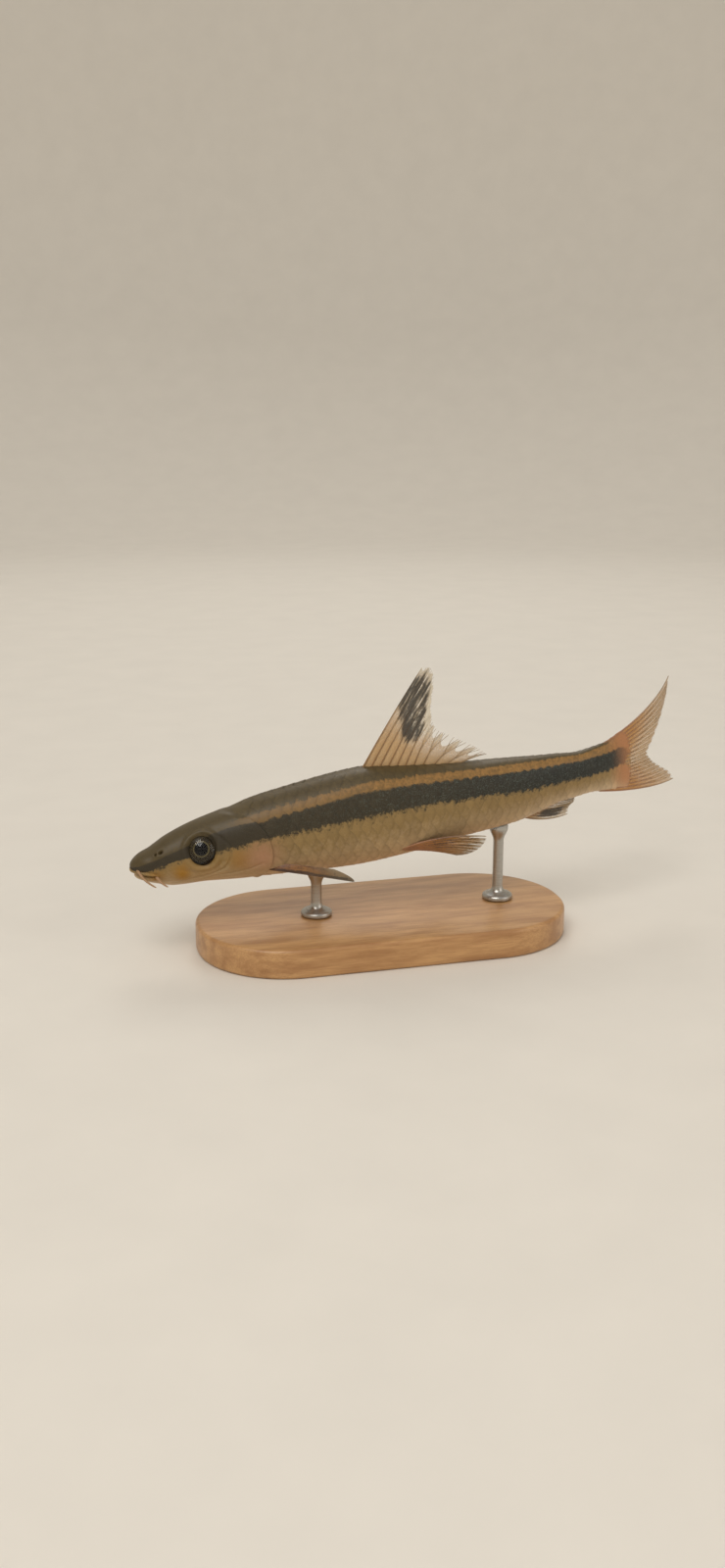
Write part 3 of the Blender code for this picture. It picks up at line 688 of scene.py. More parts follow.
def wet_eyeball(look):
    """Black pupil, thin brassy ring and dark iris with fine radial flecks. Its cornea gives the shine."""
    made, add = new_finish("wet_eyeball", Roughness=0.35, IOR=1.2, Coat_Weight=0.12, Coat_Roughness=0.04)
    layout = add("Attribute", attribute_name="eye", output=1)
    height, far = add("SeparateXYZ", layout, output=slice(1, 3))
    speckle = add("TexNoise", add("TexCoord", output=3), 2600.0, 3.0, 0.7)  # about 0.4 mm
    spokes = add("Mapping", layout, None, None, (9.0, 9.0, 3.0))
    spokes = add("TexNoise", spokes, 1.0, 3.0, 0.65)
    flecks = add("Math", speckle, spokes, operation="MULTIPLY")
    flecks = add("MapRange", flecks, 0.2, 0.38, 0.0, 0.9)
    low = add("MapRange", height, -0.7, 0.9, 0.35, 1.0)
    flecks = add("Math", flecks, low, operation="MULTIPLY")
    outer = add("MapRange", far, 0.74, 0.86, **SMOOTH)
    wander = add("Math", speckle, 0.05, far, operation="MULTIPLY_ADD")
    pupil = look.pupil / EYE_RADIUS
    edges = ((pupil + 0.02, pupil + 0.05), (pupil + 0.14, pupil + 0.07))
    ring = add("Math", *(add("MapRange", wander, *edge, **SMOOTH) for edge in edges), operation="MULTIPLY")
    ring = add("Math", ring, 0.7, operation="MULTIPLY")
    hole = add("MapRange", far, pupil + 0.02, pupil - 0.01, **SMOOTH)
    colours = add("Mix", flecks, look.iris, look.fleck, **COLOURS)
    for share, tone in ((outer, IRIS_EDGE), (ring, look.ring), (hole, PUPIL_BLACK)):
        colours = add("Mix", share, colours, tone, **COLOURS)
    return set_shader(made, Base_Color=colours)


def clear_cornea(_):
    """A clear cornea: a thin film that shows only its reflections. Its IOR makes up for the low alpha."""
    return new_finish("clear_cornea", Base_Color=(0.0, 0.0, 0.0), Roughness=0.03, IOR=2.4, Alpha=0.06)[0]


def beech_satin_varnish(look):
    """Planed beech under a thin satin varnish: fine straight grain with short dark flecks."""
    made, add = new_finish(
        "beech_satin_varnish", Roughness=0.42, IOR=1.5, Coat_Weight=0.35, Coat_Roughness=0.3
    )
    here = add("TexCoord", output=3)
    squeezes = ((1.0, across, across) for across in (7, 22, 6))  # the grain runs along X
    boards, fibres, rays = (add("Mapping", here, None, None, squeeze) for squeeze in squeezes)
    years = add("TexNoise", boards, 55.0, 5.0, 0.6)  # growth rings a few millimetres apart
    fibres = add("TexNoise", fibres, 190.0, 3.0, 0.65)  # open pores, a quarter of a millimetre apart
    rays = add("TexVoronoi", rays, 420.0)  # medullary flecks, about 1 mm long
    line = add("MapRange", years, 0.4, 0.62, 0.0, 0.75)
    fine = add("MapRange", fibres, 0.42, 0.68, 0.0, 0.5)
    flecks = add("MapRange", rays, 0.12, 0.2, 0.45, 0.0)
    colours = look.wood
    for share in (line, fine, flecks):
        colours = add("Mix", share, colours, look.grain, **COLOURS)
    bump = add("Bump", 0.2, 0.03 * MM, None, fibres)
    gloss = add("MapRange", fibres, 0.3, 0.7, 0.38, 0.5)
    return set_shader(made, Base_Color=colours, Normal=bump, Roughness=gloss)


def brushed_stainless_steel(look):
    """Turned stainless steel, brushed round the rod, so its gloss is broken by fine rings."""
    made, add = new_finish("brushed_stainless_steel", Metallic=1.0, Roughness=0.3)
    rings = add("Mapping", add("TexCoord", output=3), None, None, (0.4, 0.4, 30.0))
    brush = add("TexNoise", rings, 420.0, 3.0, 0.6)  # brush lines, drawn about 0.1 mm apart
    tone = add("MapRange", brush, 0.3, 0.7, 0.85, 1.05)
    colours = add("HueSaturation", 0.5, 1.0, tone, 1.0, look.steel)
    gloss = add("MapRange", brush, 0.3, 0.7, 0.24, 0.4)
    bump = add("Bump", 0.15, 0.01 * MM, None, brush)
    return set_shader(made, Base_Color=colours, Roughness=gloss, Normal=bump)


def paper_backdrop(look):
    """A seamless paper backdrop: matt, with the faintest mottling."""
    made, add = new_finish("paper_backdrop", Roughness=0.85)
    mottle = add("TexNoise", add("TexCoord", output=3), 60.0, 3.0, 0.5)
    mottle = add("MapRange", mottle, 0.3, 0.7, 0.985, 1.015)
    return set_shader(made, Base_Color=add("HueSaturation", 0.5, 1.0, mottle, 1.0, look.floor))


def clear_selection():
    if bpy.context.object and bpy.context.object.mode != "OBJECT":
        bpy.ops.object.mode_set(mode="OBJECT")
    bpy.ops.object.select_all(action="DESELECT")


def pick(made):
    """Selects one object alone, and makes it the active one."""
    clear_selection()
    bpy.context.view_layer.objects.active = made
    made.select_set(True)


def laid_grid(name, points):
    """A grid primitive whose corners are laid over points, an array of rows by columns of places."""
    rows, columns = points.shape[:2]
    clear_selection()
    bpy.ops.mesh.primitive_grid_add(x_subdivisions=columns - 1, y_subdivisions=rows - 1, size=1)
    made = bpy.context.object
    made.name = name
    if len(made.data.vertices) != rows * columns:
        raise RuntimeError(f"{name}: the grid has {len(made.data.vertices)} corners, not {rows * columns}")
    made.data.vertices.foreach_set("co", points.reshape(-1).astype(np.float32))
    made.data.update()
    return made


def set_attribute(made, name, values):
    layer = made.data.attributes.new(name, "FLOAT_VECTOR", "POINT")
    layer.data.foreach_set("vector", np.ascontiguousarray(values, np.float32).reshape(-1))


MERGE_DISTANCE = 0.002 * MM


def close_up(made, merge=True):
    """Merges corners that lie on each other, if that is asked for, and turns the faces outwards."""
    pick(made)
    bpy.ops.object.mode_set(mode="EDIT")
    bpy.ops.mesh.select_all(action="SELECT")
    if merge:
        bpy.ops.mesh.remove_doubles(threshold=MERGE_DISTANCE)
        bpy.ops.mesh.dissolve_degenerate(threshold=MERGE_DISTANCE / 4)
    bpy.ops.mesh.normals_make_consistent(inside=False)
    bpy.ops.object.mode_set(mode="OBJECT")
    bpy.ops.object.shade_smooth()


def apply_modifiers(made):
    pick(made)
    for modifier in list(made.modifiers):
        bpy.ops.object.modifier_apply(modifier=modifier.name)


def joined_mesh(name, points, faces):
    """An object from arrays of points and of four-cornered faces."""
    mesh = bpy.data.meshes.new(name)
    mesh.vertices.add(len(points))
    mesh.vertices.foreach_set("co", points.astype(np.float32).reshape(-1))
    mesh.loops.add(faces.size)
    mesh.loops.foreach_set("vertex_index", faces.astype(np.int32).reshape(-1))
    mesh.polygons.add(len(faces))
    mesh.polygons.foreach_set("loop_start", np.arange(0, faces.size, 4, dtype=np.int32))
    mesh.update(calc_edges=True)
    mesh.validate()
    made = bpy.data.objects.new(name, mesh)
    bpy.context.scene.collection.objects.link(made)
    return made


def finish_piece(made, maker, look, slot, *replaced):
    """Gives a piece its finish, made when it is first asked for, and tells the frame what it rides on."""
    made.data.materials.clear()
    made.data.materials.append(bpy.data.materials.get(maker.__name__) or maker(look))
    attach(made, "root")
    if replaced:
        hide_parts(*replaced)


def turned(profile, steps):
    """Rings of points round Z, from a profile of radii and heights."""
    turns = np.linspace(0, 2 * math.pi, steps + 1)
    return np.array([[(r * math.cos(t), r * math.sin(t), h) for t in turns] for r, h in profile])


# The skin's mesh
AROUND = 216
HEAD_RINGS = 210
SNOUT_CROWDING = 1.15  # above 1, the head's rings lie closer at the snout
TRUNK_RINGS = 150
TRUNK_START = 0.6 * MM  # behind the edge of the gill cover
SLIT_TOP = (math.radians(28), 0.45)  # where the gill slit begins, and the turn that it takes to open
SLIT_BOTTOM = (math.radians(170), 0.35)
NAPE_SLOPE = 1.8 * MM  # over which the head's skin sinks under the first scales where there is no gill slit
NAPE_STEP = 0.09  # from ring to ring there, in millimetres
LIP_PROFILE = (  # the gill cover's lip and the slit behind it: ahead in millimetres, and shares of GILL_LIP
    (0.10, 0.75), (0.16, 0.35), (0.02, -0.1), (-0.28, -0.55), (-0.2, -0.95), (0.25, -0.9),
)  # fmt: skip
TAIL_FINGERS = 36  # small lobes of flesh round the tail's root, one between each two rays
FINGER_LENGTH = 0.8 * MM
REAR_FADE = 3 * MM  # over which the skin rises out of the scales at its rear end


def skin_layout(coat):
    """Along, turn and lift of every point of the skin, as arrays of rings by turns."""
    turns = np.linspace(0, 2 * math.pi, AROUND + 1)
    edge = gill_edge(turns)
    down = wrapped(turns)
    slit = ease((down - SLIT_TOP[0]) / SLIT_TOP[1]) * ease((SLIT_BOTTOM[0] - down) / SLIT_BOTTOM[1])
    alongs, lifts = [], []
    for share in (np.arange(HEAD_RINGS + 1) / HEAD_RINGS) ** SNOUT_CROWDING:
        along = edge * share
        alongs.append(along)
        sinks = (1 - slit) * ease(1 - (edge - along) / NAPE_SLOPE)
        lifts.append(relief(along, turns) - coat * sinks)
    for number, (ahead, height) in enumerate(LIP_PROFILE, 1):
        alongs.append(edge + mix(NAPE_STEP * number, ahead, slit) * MM)
        lifts.append(mix(-coat, height * GILL_LIP, slit))
    fingers = FINGER_LENGTH * np.abs(np.sin(turns * TAIL_FINGERS / 2)) ** 0.7
    flesh = mix(TAIL_FLESH_EDGE, TAIL_FLESH, np.abs(np.sin(turns)) ** 0.5)
    end = LENGTH + flesh + fingers * np.sin(turns) ** 2
    for share in np.arange(1, TRUNK_RINGS + 1) / TRUNK_RINGS:
        along = mix(edge + TRUNK_START, end, share)
        alongs.append(along)
        lifts.append(-coat * mix(0.3, 1.0, ease((end - along) / REAR_FADE)))
    return np.array(alongs), np.broadcast_to(turns, (len(alongs), len(turns))), np.array(lifts)


def unwrap(along, turn):
    """A place on the flat layout of the skin, each side 0 to 1."""
    return along / (LENGTH + 8 * MM), (turn % (2 * math.pi)) / (2 * math.pi)


class FOX_OT_skin(bpy.types.Operator):
    """Lays one skin over head, trunk and tail stalk"""

    bl_idname = "flying_fox.skin"
    bl_label = "Skin"

    def execute(self, context):
        look = context.scene.fox_skin
        along, turn, lift = skin_layout(look.coat)
        points = on_skin(along, turn, lift)
        points[0] = place(0.0, 0.0, 0.0)
        rear_seam = place(along[-1], 0.0, section_point(along[-1], turn[-1])[1])
        points = np.concatenate((points, rear_seam[None]))
        along, turn = (np.concatenate((values, values[-1:])) for values in (along, turn))
        made = laid_grid("fish_skin", points)
        level = band(along, turn)
        set_attribute(made, "marks", np.stack((along / LENGTH, level, np.zeros_like(level)), -1))
        set_attribute(made, "tints", face_tints(along, turn))
        made.data.uv_layers[0].name = "OFBake"
        close_up(made)
        finish_piece(made, wet_fish_skin, look, "skin", "head", "trunk", "tail_stalk")
        return {"FINISHED"}


# The scales, in millimetres for one at the shoulder
SCALE_LENGTH = 3.9
SCALE_HALF_HEIGHT = 2.5
SCALE_ROUNDING = 0.37  # how much shorter a scale is at its sides
SCALE_BOW = 0.03  # how far its sides bend down
SCALE_THICKNESS = 0.035
SCALE_CELLS = (4, 8)  # along and across a scale
SCALE_ROWS = range(-8, 9)  # above and below the lateral line, which is row 0
SCALES_START, SCALES_END = 19 * MM, 110.5 * MM
SCALE_SHRINK = (45 * MM, 65 * MM, 0.72)  # where they begin to get smaller, over what length, and how small
ROOT_LEAD = 0.8 * MM  # from a scale's place to where its root shows
GILL_OVERLAP = 0.5 * MM  # how far such roots may lie under the gill cover
LAST_ROOTS = (-1.5, 2.6)  # how far behind the tail's root the last ones lie, at its edges and its middle
GIVEN_SPACING = 2.3 * MM  # the scale spacing for which the lengths above are given
SCALE_PATCH = 0.003  # size of one scale on the flat layout
SEEDS = {"right": 11, "left": 23}
TILT_SPREAD, SIZE_SPREAD = 0.025, 0.02  # of the random draws that make each scale a little different
PLACE_SPREAD, LIFT_SPREAD = 0.04 * MM, 0.003 * MM
ONE_COLOUR = 0.12  # how much a scale is of one colour, rather than of the markings' colours under it
CANAL_HEIGHT, CANAL_WIDTH = 0.09 * MM, 0.28 * MM  # the lateral line's raised canal, on its row of scales


def scale_blank():
    """One flat scale: x from its root to its free edge, y across it, z out of the skin, in millimetres."""
    clear_selection()
    bpy.ops.mesh.primitive_grid_add(x_subdivisions=SCALE_CELLS[0], y_subdivisions=SCALE_CELLS[1], size=2)
    blank = bpy.context.object
    layer = blank.data.attributes.new("plate", "FLOAT_VECTOR", "POINT")
    for vertex, item in zip(blank.data.vertices, layer.data):
        lengthways, across = (vertex.co.x + 1) / 2, vertex.co.y
        reach = SCALE_LENGTH * (1 - SCALE_ROUNDING * abs(across) ** 2)
        vertex.co = (reach * lengthways**0.8, SCALE_HALF_HEIGHT * across, -SCALE_BOW * across**2)
        item.vector = (across, lengthways, 0)
    wall = blank.modifiers.new("thickness", "SOLIDIFY")
    wall.thickness = SCALE_THICKNESS
    wall.offset = -1
    apply_modifiers(blank)
    points, plate = np.empty((2, 3 * len(blank.data.vertices)))
    blank.data.vertices.foreach_get("co", points)
    blank.data.attributes["plate"].data.foreach_get("vector", plate)
    faces = np.array([tuple(face.vertices) for face in blank.data.polygons])
    bpy.data.objects.remove(blank)
    return points.reshape(-1, 3), plate.reshape(-1, 3), faces


def flank_table():
    """Turns down the right flank, by along and by distance over the skin from the lateral line."""
    alongs = np.linspace(18 * MM, LENGTH + 8 * MM, 190)
    downs = np.linspace(-20 * MM, 20 * MM, 800)
    turns = np.linspace(-0.5, math.pi + 0.5, 700)
    side, up = section_point(alongs[:, None], turns[None, :])
    steps = np.hypot(np.diff(side, axis=1), np.diff(up, axis=1))
    runs = np.concatenate((np.zeros((len(alongs), 1)), np.cumsum(steps, axis=1)), axis=1)
    middle = np.array([np.interp(math.pi / 2, turns, run) for run in runs])
    return alongs, downs, np.array([np.interp(downs, run, turns) for run in runs - middle[:, None]])


def turn_at(table, along, down):
    """The turn that lies a distance down the flank from the lateral line."""
    alongs, downs, turns = table
    i = np.clip((along - alongs[0]) / (alongs[1] - alongs[0]), 0, len(alongs) - 1.001)
    j = np.clip((down - downs[0]) / (downs[1] - downs[0]), 0, len(downs) - 1.001)
    i0, j0 = i.astype(int), j.astype(int)
    before, after = (mix(turns[row, j0], turns[row, j0 + 1], j - j0) for row in (i0, i0 + 1))
    return mix(before, after, i - i0)


def scale_places(look, table):
    """Places of one flank's scales: along, distance down, size, and if the scale is on the lateral line."""
    start, length, least = SCALE_SHRINK
    found = []
    for row in SCALE_ROWS:
        along = SCALES_START + (row % 2) * look.scale_spacing / 2
        while along < SCALES_END:
            smaller = mix(1.0, least, ease((along - start) / length))
            down = row * look.scale_rows * smaller
            turn = float(turn_at(table, np.array(along), np.array(down)))
            root = along + ROOT_LEAD
            on_flank = -0.02 < turn < math.pi + 0.02
            behind_gill = root > float(gill_edge(np.array(turn))) - GILL_OVERLAP
            before_end = root < LENGTH + mix(*LAST_ROOTS, abs(math.sin(turn)) ** 0.5) * MM
            if on_flank and behind_gill and before_end:
                found.append((along, down, smaller, row == 0))
            along += look.scale_spacing * smaller
    return found


def lay_scales(side, look, table, seed):
    """Points, faces, attributes and layout of one flank's coat of scales."""
    draw = np.random.default_rng(seed)
    blank, plate, faces = scale_blank()
    places = scale_places(look, table)
    along0, down0, smaller, lateral = (np.array(column, float)[:, None] for column in zip(*places))
    count = len(places)
    tilt = draw.normal(0, TILT_SPREAD, (count, 1))
    bigger = smaller * (look.scale_spacing / GIVEN_SPACING) * draw.normal(1, SIZE_SPREAD, (count, 1))
    x, y, z = (blank[:, i][None, :] * MM for i in range(3))
    length = x / (SCALE_LENGTH * MM)
    along = along0 + bigger * (x - y * tilt) + draw.normal(0, PLACE_SPREAD, (count, 1))
    down = down0 + bigger * (y + x * tilt)
    turn = turn_at(table, along, down)
    lift = z - (look.coat + 0.02 * MM) * (1 - length) + draw.normal(0, LIFT_SPREAD, (count, 1))
    # Scales that reach over the middle of the back or belly go under the others
    past_middle = np.maximum(-turn, turn - math.pi)
    lift = lift - 0.14 * MM * ease(past_middle * back_height(along) / (1.2 * MM) + 0.1)
    canal = CANAL_HEIGHT * hump(y, CANAL_WIDTH) * ease((length - 0.3) / 0.2)
    canal = canal * (1 - ease((length - 0.8) / 0.1))
    raised = ease((LENGTH + 7 * MM - along) / (9 * MM))  # the last scales sink into the tail's flesh
    lift = mix(lift * 0.4 - 0.05 * MM, lift + lateral * canal, raised)
    points = on_skin(along, side * turn, lift)
    all_faces = (faces[None] + (np.arange(count) * len(blank))[:, None, None]).reshape(-1, 4)

    middle = band(along0 + 2.4 * MM, turn_at(table, along0 + 2.4 * MM, down0))
    level = mix(band(along, turn), middle, ONE_COLOUR)
    across, lengthways = (np.broadcast_to(plate[:, i], level.shape) for i in (0, 1))
    rim = np.maximum(lengthways, np.abs(across) * 0.95)
    tone = draw.uniform(0, 1, (count, 1)) * np.ones_like(level)
    attributes = {
        "marks": np.stack((along / LENGTH, level, rim), -1),
        "plate": np.stack((across, tone, lengthways), -1),
        "tints": face_tints(along, turn),
    }
    u, v = unwrap(along0, side * turn_at(table, along0, down0))
    flat = np.stack((u + SCALE_PATCH * (lengthways - 0.5), v + SCALE_PATCH * across / 2), -1)
    return points.reshape(-1, 3), all_faces, attributes, np.clip(flat, 0, 1).reshape(-1, 2)


class FOX_OT_scales(bpy.types.Operator):
    """Covers both flanks with overlapping scales"""

    bl_idname = "flying_fox.scales"
    bl_label = "Scales"

    def execute(self, context):
        look = context.scene.fox_skin
        table = flank_table()
        for side, name in SIDES:
            points, faces, attributes, flat = lay_scales(side, look, table, SEEDS[name])
            made = joined_mesh(f"scales_{name}", points, faces)
            if side < 0:
                made.data.flip_normals()
            for layer, values in attributes.items():
                set_attribute(made, layer, values)
            layout = made.data.uv_layers.new(name="OFBake")
            corners = np.empty(len(made.data.loops), np.int32)
            made.data.loops.foreach_get("vertex_index", corners)
            layout.data.foreach_set("uv", flat[corners].astype(np.float32).reshape(-1))
            pick(made)
            bpy.ops.object.shade_smooth_by_angle(angle=math.radians(40))
            finish_piece(made, wet_fish_skin, look, "skin")
        return {"FINISHED"}


def skin_axes(along, turn):
    """A place on the skin with its own axes: Z out of the skin, X towards the tail."""
    step = 0.2 * MM
    along, turn = np.array(along), np.array(turn)
    here = Vector(on_skin(along, turn))
    back = (Vector(on_skin(along + step, turn)) - Vector(on_skin(along - step, turn))).normalized()
    out = here - Vector(place(along, 0.0, 0.0))
    across = out.cross(back).normalized()
    out = back.cross(across)
    return Matrix.Translation(here) @ Matrix((back, across, out)).transposed().to_4x4()


EYE_CLEARANCE = 0.16 * MM  # between cornea and iris
CORNEA_WALL = 0.07 * MM
EYE_BACK = 0.9  # how deep the eyeball is behind, as a share of its front
IRIS_DISH = (0.22 * MM, 0.62, 0.2)  # depth, the share of the radius where it is deepest, and its spread
EYEBALL_RIM, CORNEA_RIM = 12, 30  # how steeply each ends at the eye's edge


def ball(name, axes, shape):
    """A sphere primitive reshaped by shape(radius share, front) to a height, and carried to its place."""
    clear_selection()
    bpy.ops.mesh.primitive_uv_sphere_add(segments=72, ring_count=48, radius=1)
    made = bpy.context.object
    made.name = name
    spots = []
    for vertex in made.data.vertices:
        x, y, z = vertex.co
        far = min(math.hypot(x, y), 1.0)
        spots.append((x / max(far, 0.01), y / max(far, 0.01), far))
        vertex.co = (x * EYE_RADIUS, y * EYE_RADIUS, shape(far, z > -1e-6))
    made.data.transform(axes)
    set_attribute(made, "eye", np.array(spots))
    close_up(made)
    return made


def dome(far):
    """Height of the cornea's front over the eye's middle."""
    return EYE_DEPTH * math.sqrt(max(0.0, 1 - far * far))


def eyeball_height(far, front):
    if not front:
        return -EYE_BACK * dome(far)
    depth, deepest, spread = IRIS_DISH
    dish = depth * float(hump(far - deepest, spread)) * (1 - far)
    return max(0.0, dome(far) - EYE_CLEARANCE - dish) * min(1.0, (1 - far) * EYEBALL_RIM)


def cornea_height(far, front):
    if front:
        return dome(far)
    return max(0.0, dome(far) - CORNEA_WALL) * min(1.0, (1 - far) * CORNEA_RIM)


class FOX_OT_eyes(bpy.types.Operator):
    """Models both eyes: eyeball with iris and pupil, and the clear cornea over it"""

    bl_idname = "flying_fox.eyes"
    bl_label = "Eyes"

    def execute(self, context):
        look = context.scene.fox_eye
        for side, name in SIDES:
            axes = skin_axes(EYE_ALONG, side * EYE_TURN) @ Matrix.Translation((0, 0, EYE_PROUD - EYE_DEPTH))
            made = ball(f"eyeball_{name}", axes, eyeball_height)
            finish_piece(made, wet_eyeball, look, "eyeball", f"eye_{name}")
            cover = ball(f"cornea_{name}", axes, cornea_height)
            finish_piece(cover, clear_cornea, look, "eyeball")
        return {"FINISHED"}


# Barbels: along, turn and length
BARBELS = {
    "snout": (1.3 * MM, math.radians(104), 5.0 * MM),
    "mouth": (4.6 * MM, math.radians(122), 3.2 * MM),
}
BARBEL_RADIUS = 0.34 * MM
BARBEL_TIP = 0.42  # its share of the radius
BARBEL_SINK = 0.8 * MM
BARBEL_STEPS = 36
BARBEL_SIDES = 14
BARBEL_LEVEL, BARBEL_BLUSH = 3.3, 0.6  # coloured like the flank's upper part, with some pink


def tube_points(centres, across, normal, widths, depths, sides):
    """Rings of points round centres, from two directions and two radii at each."""
    turns = np.linspace(0, 2 * math.pi, sides, endpoint=False)
    cosine, sine = np.cos(turns)[None, :, None], np.sin(turns)[None, :, None]
    return (
        centres[:, None]
        + cosine * across[:, None] * widths[:, None, None]
        + sine * normal[:, None] * depths[:, None, None]
    )


class FOX_OT_barbels(bpy.types.Operator):
    """Models the two pairs of barbels, on the snout's rim and at the corners of the mouth"""

    bl_idname = "flying_fox.barbels"
    bl_label = "Barbels"

    def execute(self, context):
        look = context.scene.fox_skin
        share = np.linspace(0, 1, BARBEL_STEPS + 1)
        ripple = 1 + 0.05 * np.sin(share * 60)
        blunt = np.sqrt(np.clip((1 - share) * 14, 0, 1))
        radius = BARBEL_RADIUS * mix(1.0, BARBEL_TIP, share) * ripple * blunt
        for kind, (along, turn, length) in BARBELS.items():
            out, up = section_point(np.array(along), np.array(turn))
            far = length * share - BARBEL_SINK
            back = 0.55 * length * share**2
            drop = 0.1 * far + 0.62 * np.maximum(far, 0)
            for side, name in SIDES:
                centres = place(along + back, side * (out + 0.75 * far), up - drop)
                tangent = unit(np.gradient(centres, axis=0))
                across = unit(np.cross(tangent, np.array([0.0, 0.0, 1.0])))
                rings = tube_points(centres, across, np.cross(across, tangent), radius, radius, BARBEL_SIDES)
                closed = np.concatenate((rings, rings[:, :1]), axis=1)
                closed[0] = centres[0]
                made = laid_grid(f"feeler_{kind}_{name}", closed)
                blank = np.ones(closed.shape)
                set_attribute(made, "marks", blank * (along / LENGTH, BARBEL_LEVEL, 0.0))
                set_attribute(made, "tints", blank * (0.0, BARBEL_BLUSH, 0.0))
                close_up(made)
                finish_piece(made, wet_fish_skin, look, "skin", f"barbel_{kind}_{name}")
        return {"FINISHED"}


def ray_lines(rays):
    """A fin's ray angles and lengths as functions of the share of its row."""
    shares, angles, lengths = zip(*rays)
    return smooth_line(shares, angles), smooth_line(shares, lengths)


dorsal_angle, dorsal_length = ray_lines(DORSAL_RAYS)
anal_angle, anal_length = ray_lines(ANAL_RAYS)
tail_angle, tail_length = ray_lines(TAIL_RAYS)


def ray_point(tip_angle, curl, length, reach):
    """How far a curved ray has gone along the body and up. Its slope drops by curl from root to tip."""
    angle = np.radians(tip_angle + curl * (1 - np.maximum(reach, 0)) / 2)
    return length * MM * reach * np.cos(angle), length * MM * reach * np.sin(angle)


# Middle surfaces of the fins, each with a gentle wave to the sides


def dorsal_middle(share, reach):
    start = mix(*DORSAL_ROOT, share)
    ahead, up = ray_point(dorsal_angle(share), mix(*DORSAL_CURL, share), dorsal_length(share), reach)
    root = back_height(start) - SINK * (1 - reach)
    side = 0.9 * MM * reach**2 * np.sin(2.2 * math.pi * share)
    return place(start + ahead, side, root + up)


def anal_middle(share, reach):
    start = mix(*ANAL_ROOT, share)
    ahead, up = ray_point(anal_angle(share), mix(*ANAL_CURL, share), anal_length(share), reach)
    root = SINK * (1 - reach) - belly_depth(start)
    side = 0.5 * MM * reach * np.sin(2 * math.pi * share)
    return place(start + ahead, side, root + up)


def tail_middle(share, reach):
    ahead, up = ray_point(tail_angle(share), mix(*TAIL_CURL, share), tail_length(share), reach)
    root = mix(back_height(LENGTH), -belly_depth(LENGTH), mix(0.05, 0.98, share))
    side = 0.5 * MM * reach**2 * np.sin(3 * math.pi * share)
    return place(LENGTH - SINK * (1 - reach) + ahead, side, root + up)


def paired_middle(side, root_along, root_turn, spread, leading, trailing, lengths, droops):
    """The middle surface of a pectoral or pelvic fin."""
    leading, trailing = np.array(leading), np.array(trailing)

    def middle(share, reach):
        share, reach = np.broadcast_arrays(share, reach)
        share = np.clip(share, 0, 1)
        along = mix(*root_along, share)
        out, up = section_point(along, mix(*root_turn, share))
        direction = unit(mix(leading, trailing, (share**spread)[..., None]))
        far = mix(*lengths, share**1.3) * reach - SINK * (1 - reach)
        sag = mix(*droops, share) * np.maximum(reach, 0) ** 2
        dx, dy, dz = (direction[..., i] for i in range(3))
        return place(along + far * dx, side * (out + far * dy), up + far * dz - sag)

    return middle


PECTORAL = {
    "root_along": (27.0 * MM, 30.0 * MM),
    "root_turn": (math.radians(131), math.radians(122)),
    "spread": 1.1,
    "leading": (0.80, 0.56, -0.12),
    "trailing": (0.86, 0.46, -0.12),
    "lengths": (17.6 * MM, 10.0 * MM),
    "droops": (0.4 * MM, 0.4 * MM),
}
PELVIC = {
    "root_along": (56.0 * MM, 58.5 * MM),
    "root_turn": (math.radians(131), math.radians(157)),
    "spread": 1.0,
    "leading": (0.93, 0.27, 0.25),
    "trailing": (0.93, 0.26, -0.14),
    "lengths": (15.8 * MM, 7.5 * MM),
    "droops": (4.0 * MM, 1.2 * MM),
}


def inside(value, low, high, soft):
    """1 between low and high, fading over soft on both sides."""
    return ease((value - low) / soft + 0.5) * ease((high - value) / soft + 0.5)


# The dorsal fin's blotch: shares of the row of rays, with the reach where it begins and ends
BLOTCH_LOW = (
    (0, 0.62), (0.07, 0.55), (0.12, 0.5), (0.2, 0.45), (0.28, 0.4), (0.4, 0.39), (0.5, 0.52), (0.58, 0.72),
)  # fmt: skip
BLOTCH_HIGH = ((0, 0.93), (0.1, 0.93), (0.2, 0.94), (0.3, 0.92), (0.4, 0.87), (0.5, 0.8), (0.56, 0.72))

# What each fin's pigments are, by share of its row of rays and reach along them: dark, warm and pale


def dorsal_marks(share, reach):
    """Black blotch on a slant from the tip down to the middle, white tip and rear margin, amber below."""
    low, high = (np.interp(share, *zip(*line)) for line in (BLOTCH_LOW, BLOTCH_HIGH))
    dark = inside(reach, low, high, 0.2) * (1 - ease((share - 0.45) / 0.12))
    pale = ease((reach - high) / 0.06 + 0.3) * (1 - ease((share - 0.45) / 0.18))
    warm = (1 - ease((reach - low + 0.1) / 0.3)) * mix(1.0, 0.85, ease((share - 0.5) / 0.3))
    return 0.95 * dark, 0.6 * warm, 0.9 * pale


def anal_marks(share, reach):
    """Black blotch across the front half, white towards the tip."""
    dark = 1.1 * inside(reach, 0.38, 0.84, 0.2) * inside(share, 0.08, 0.55, 0.2)
    warm = mix(0.3, 1.0, 1 - ease((reach - 0.1) / 0.5)) * (1 - ease((share - 0.3) / 0.5))
    pale = 0.3 * ease((reach - 0.86) / 0.1) * (1 - ease((share - 0.6) / 0.2))
    return dark, warm, pale


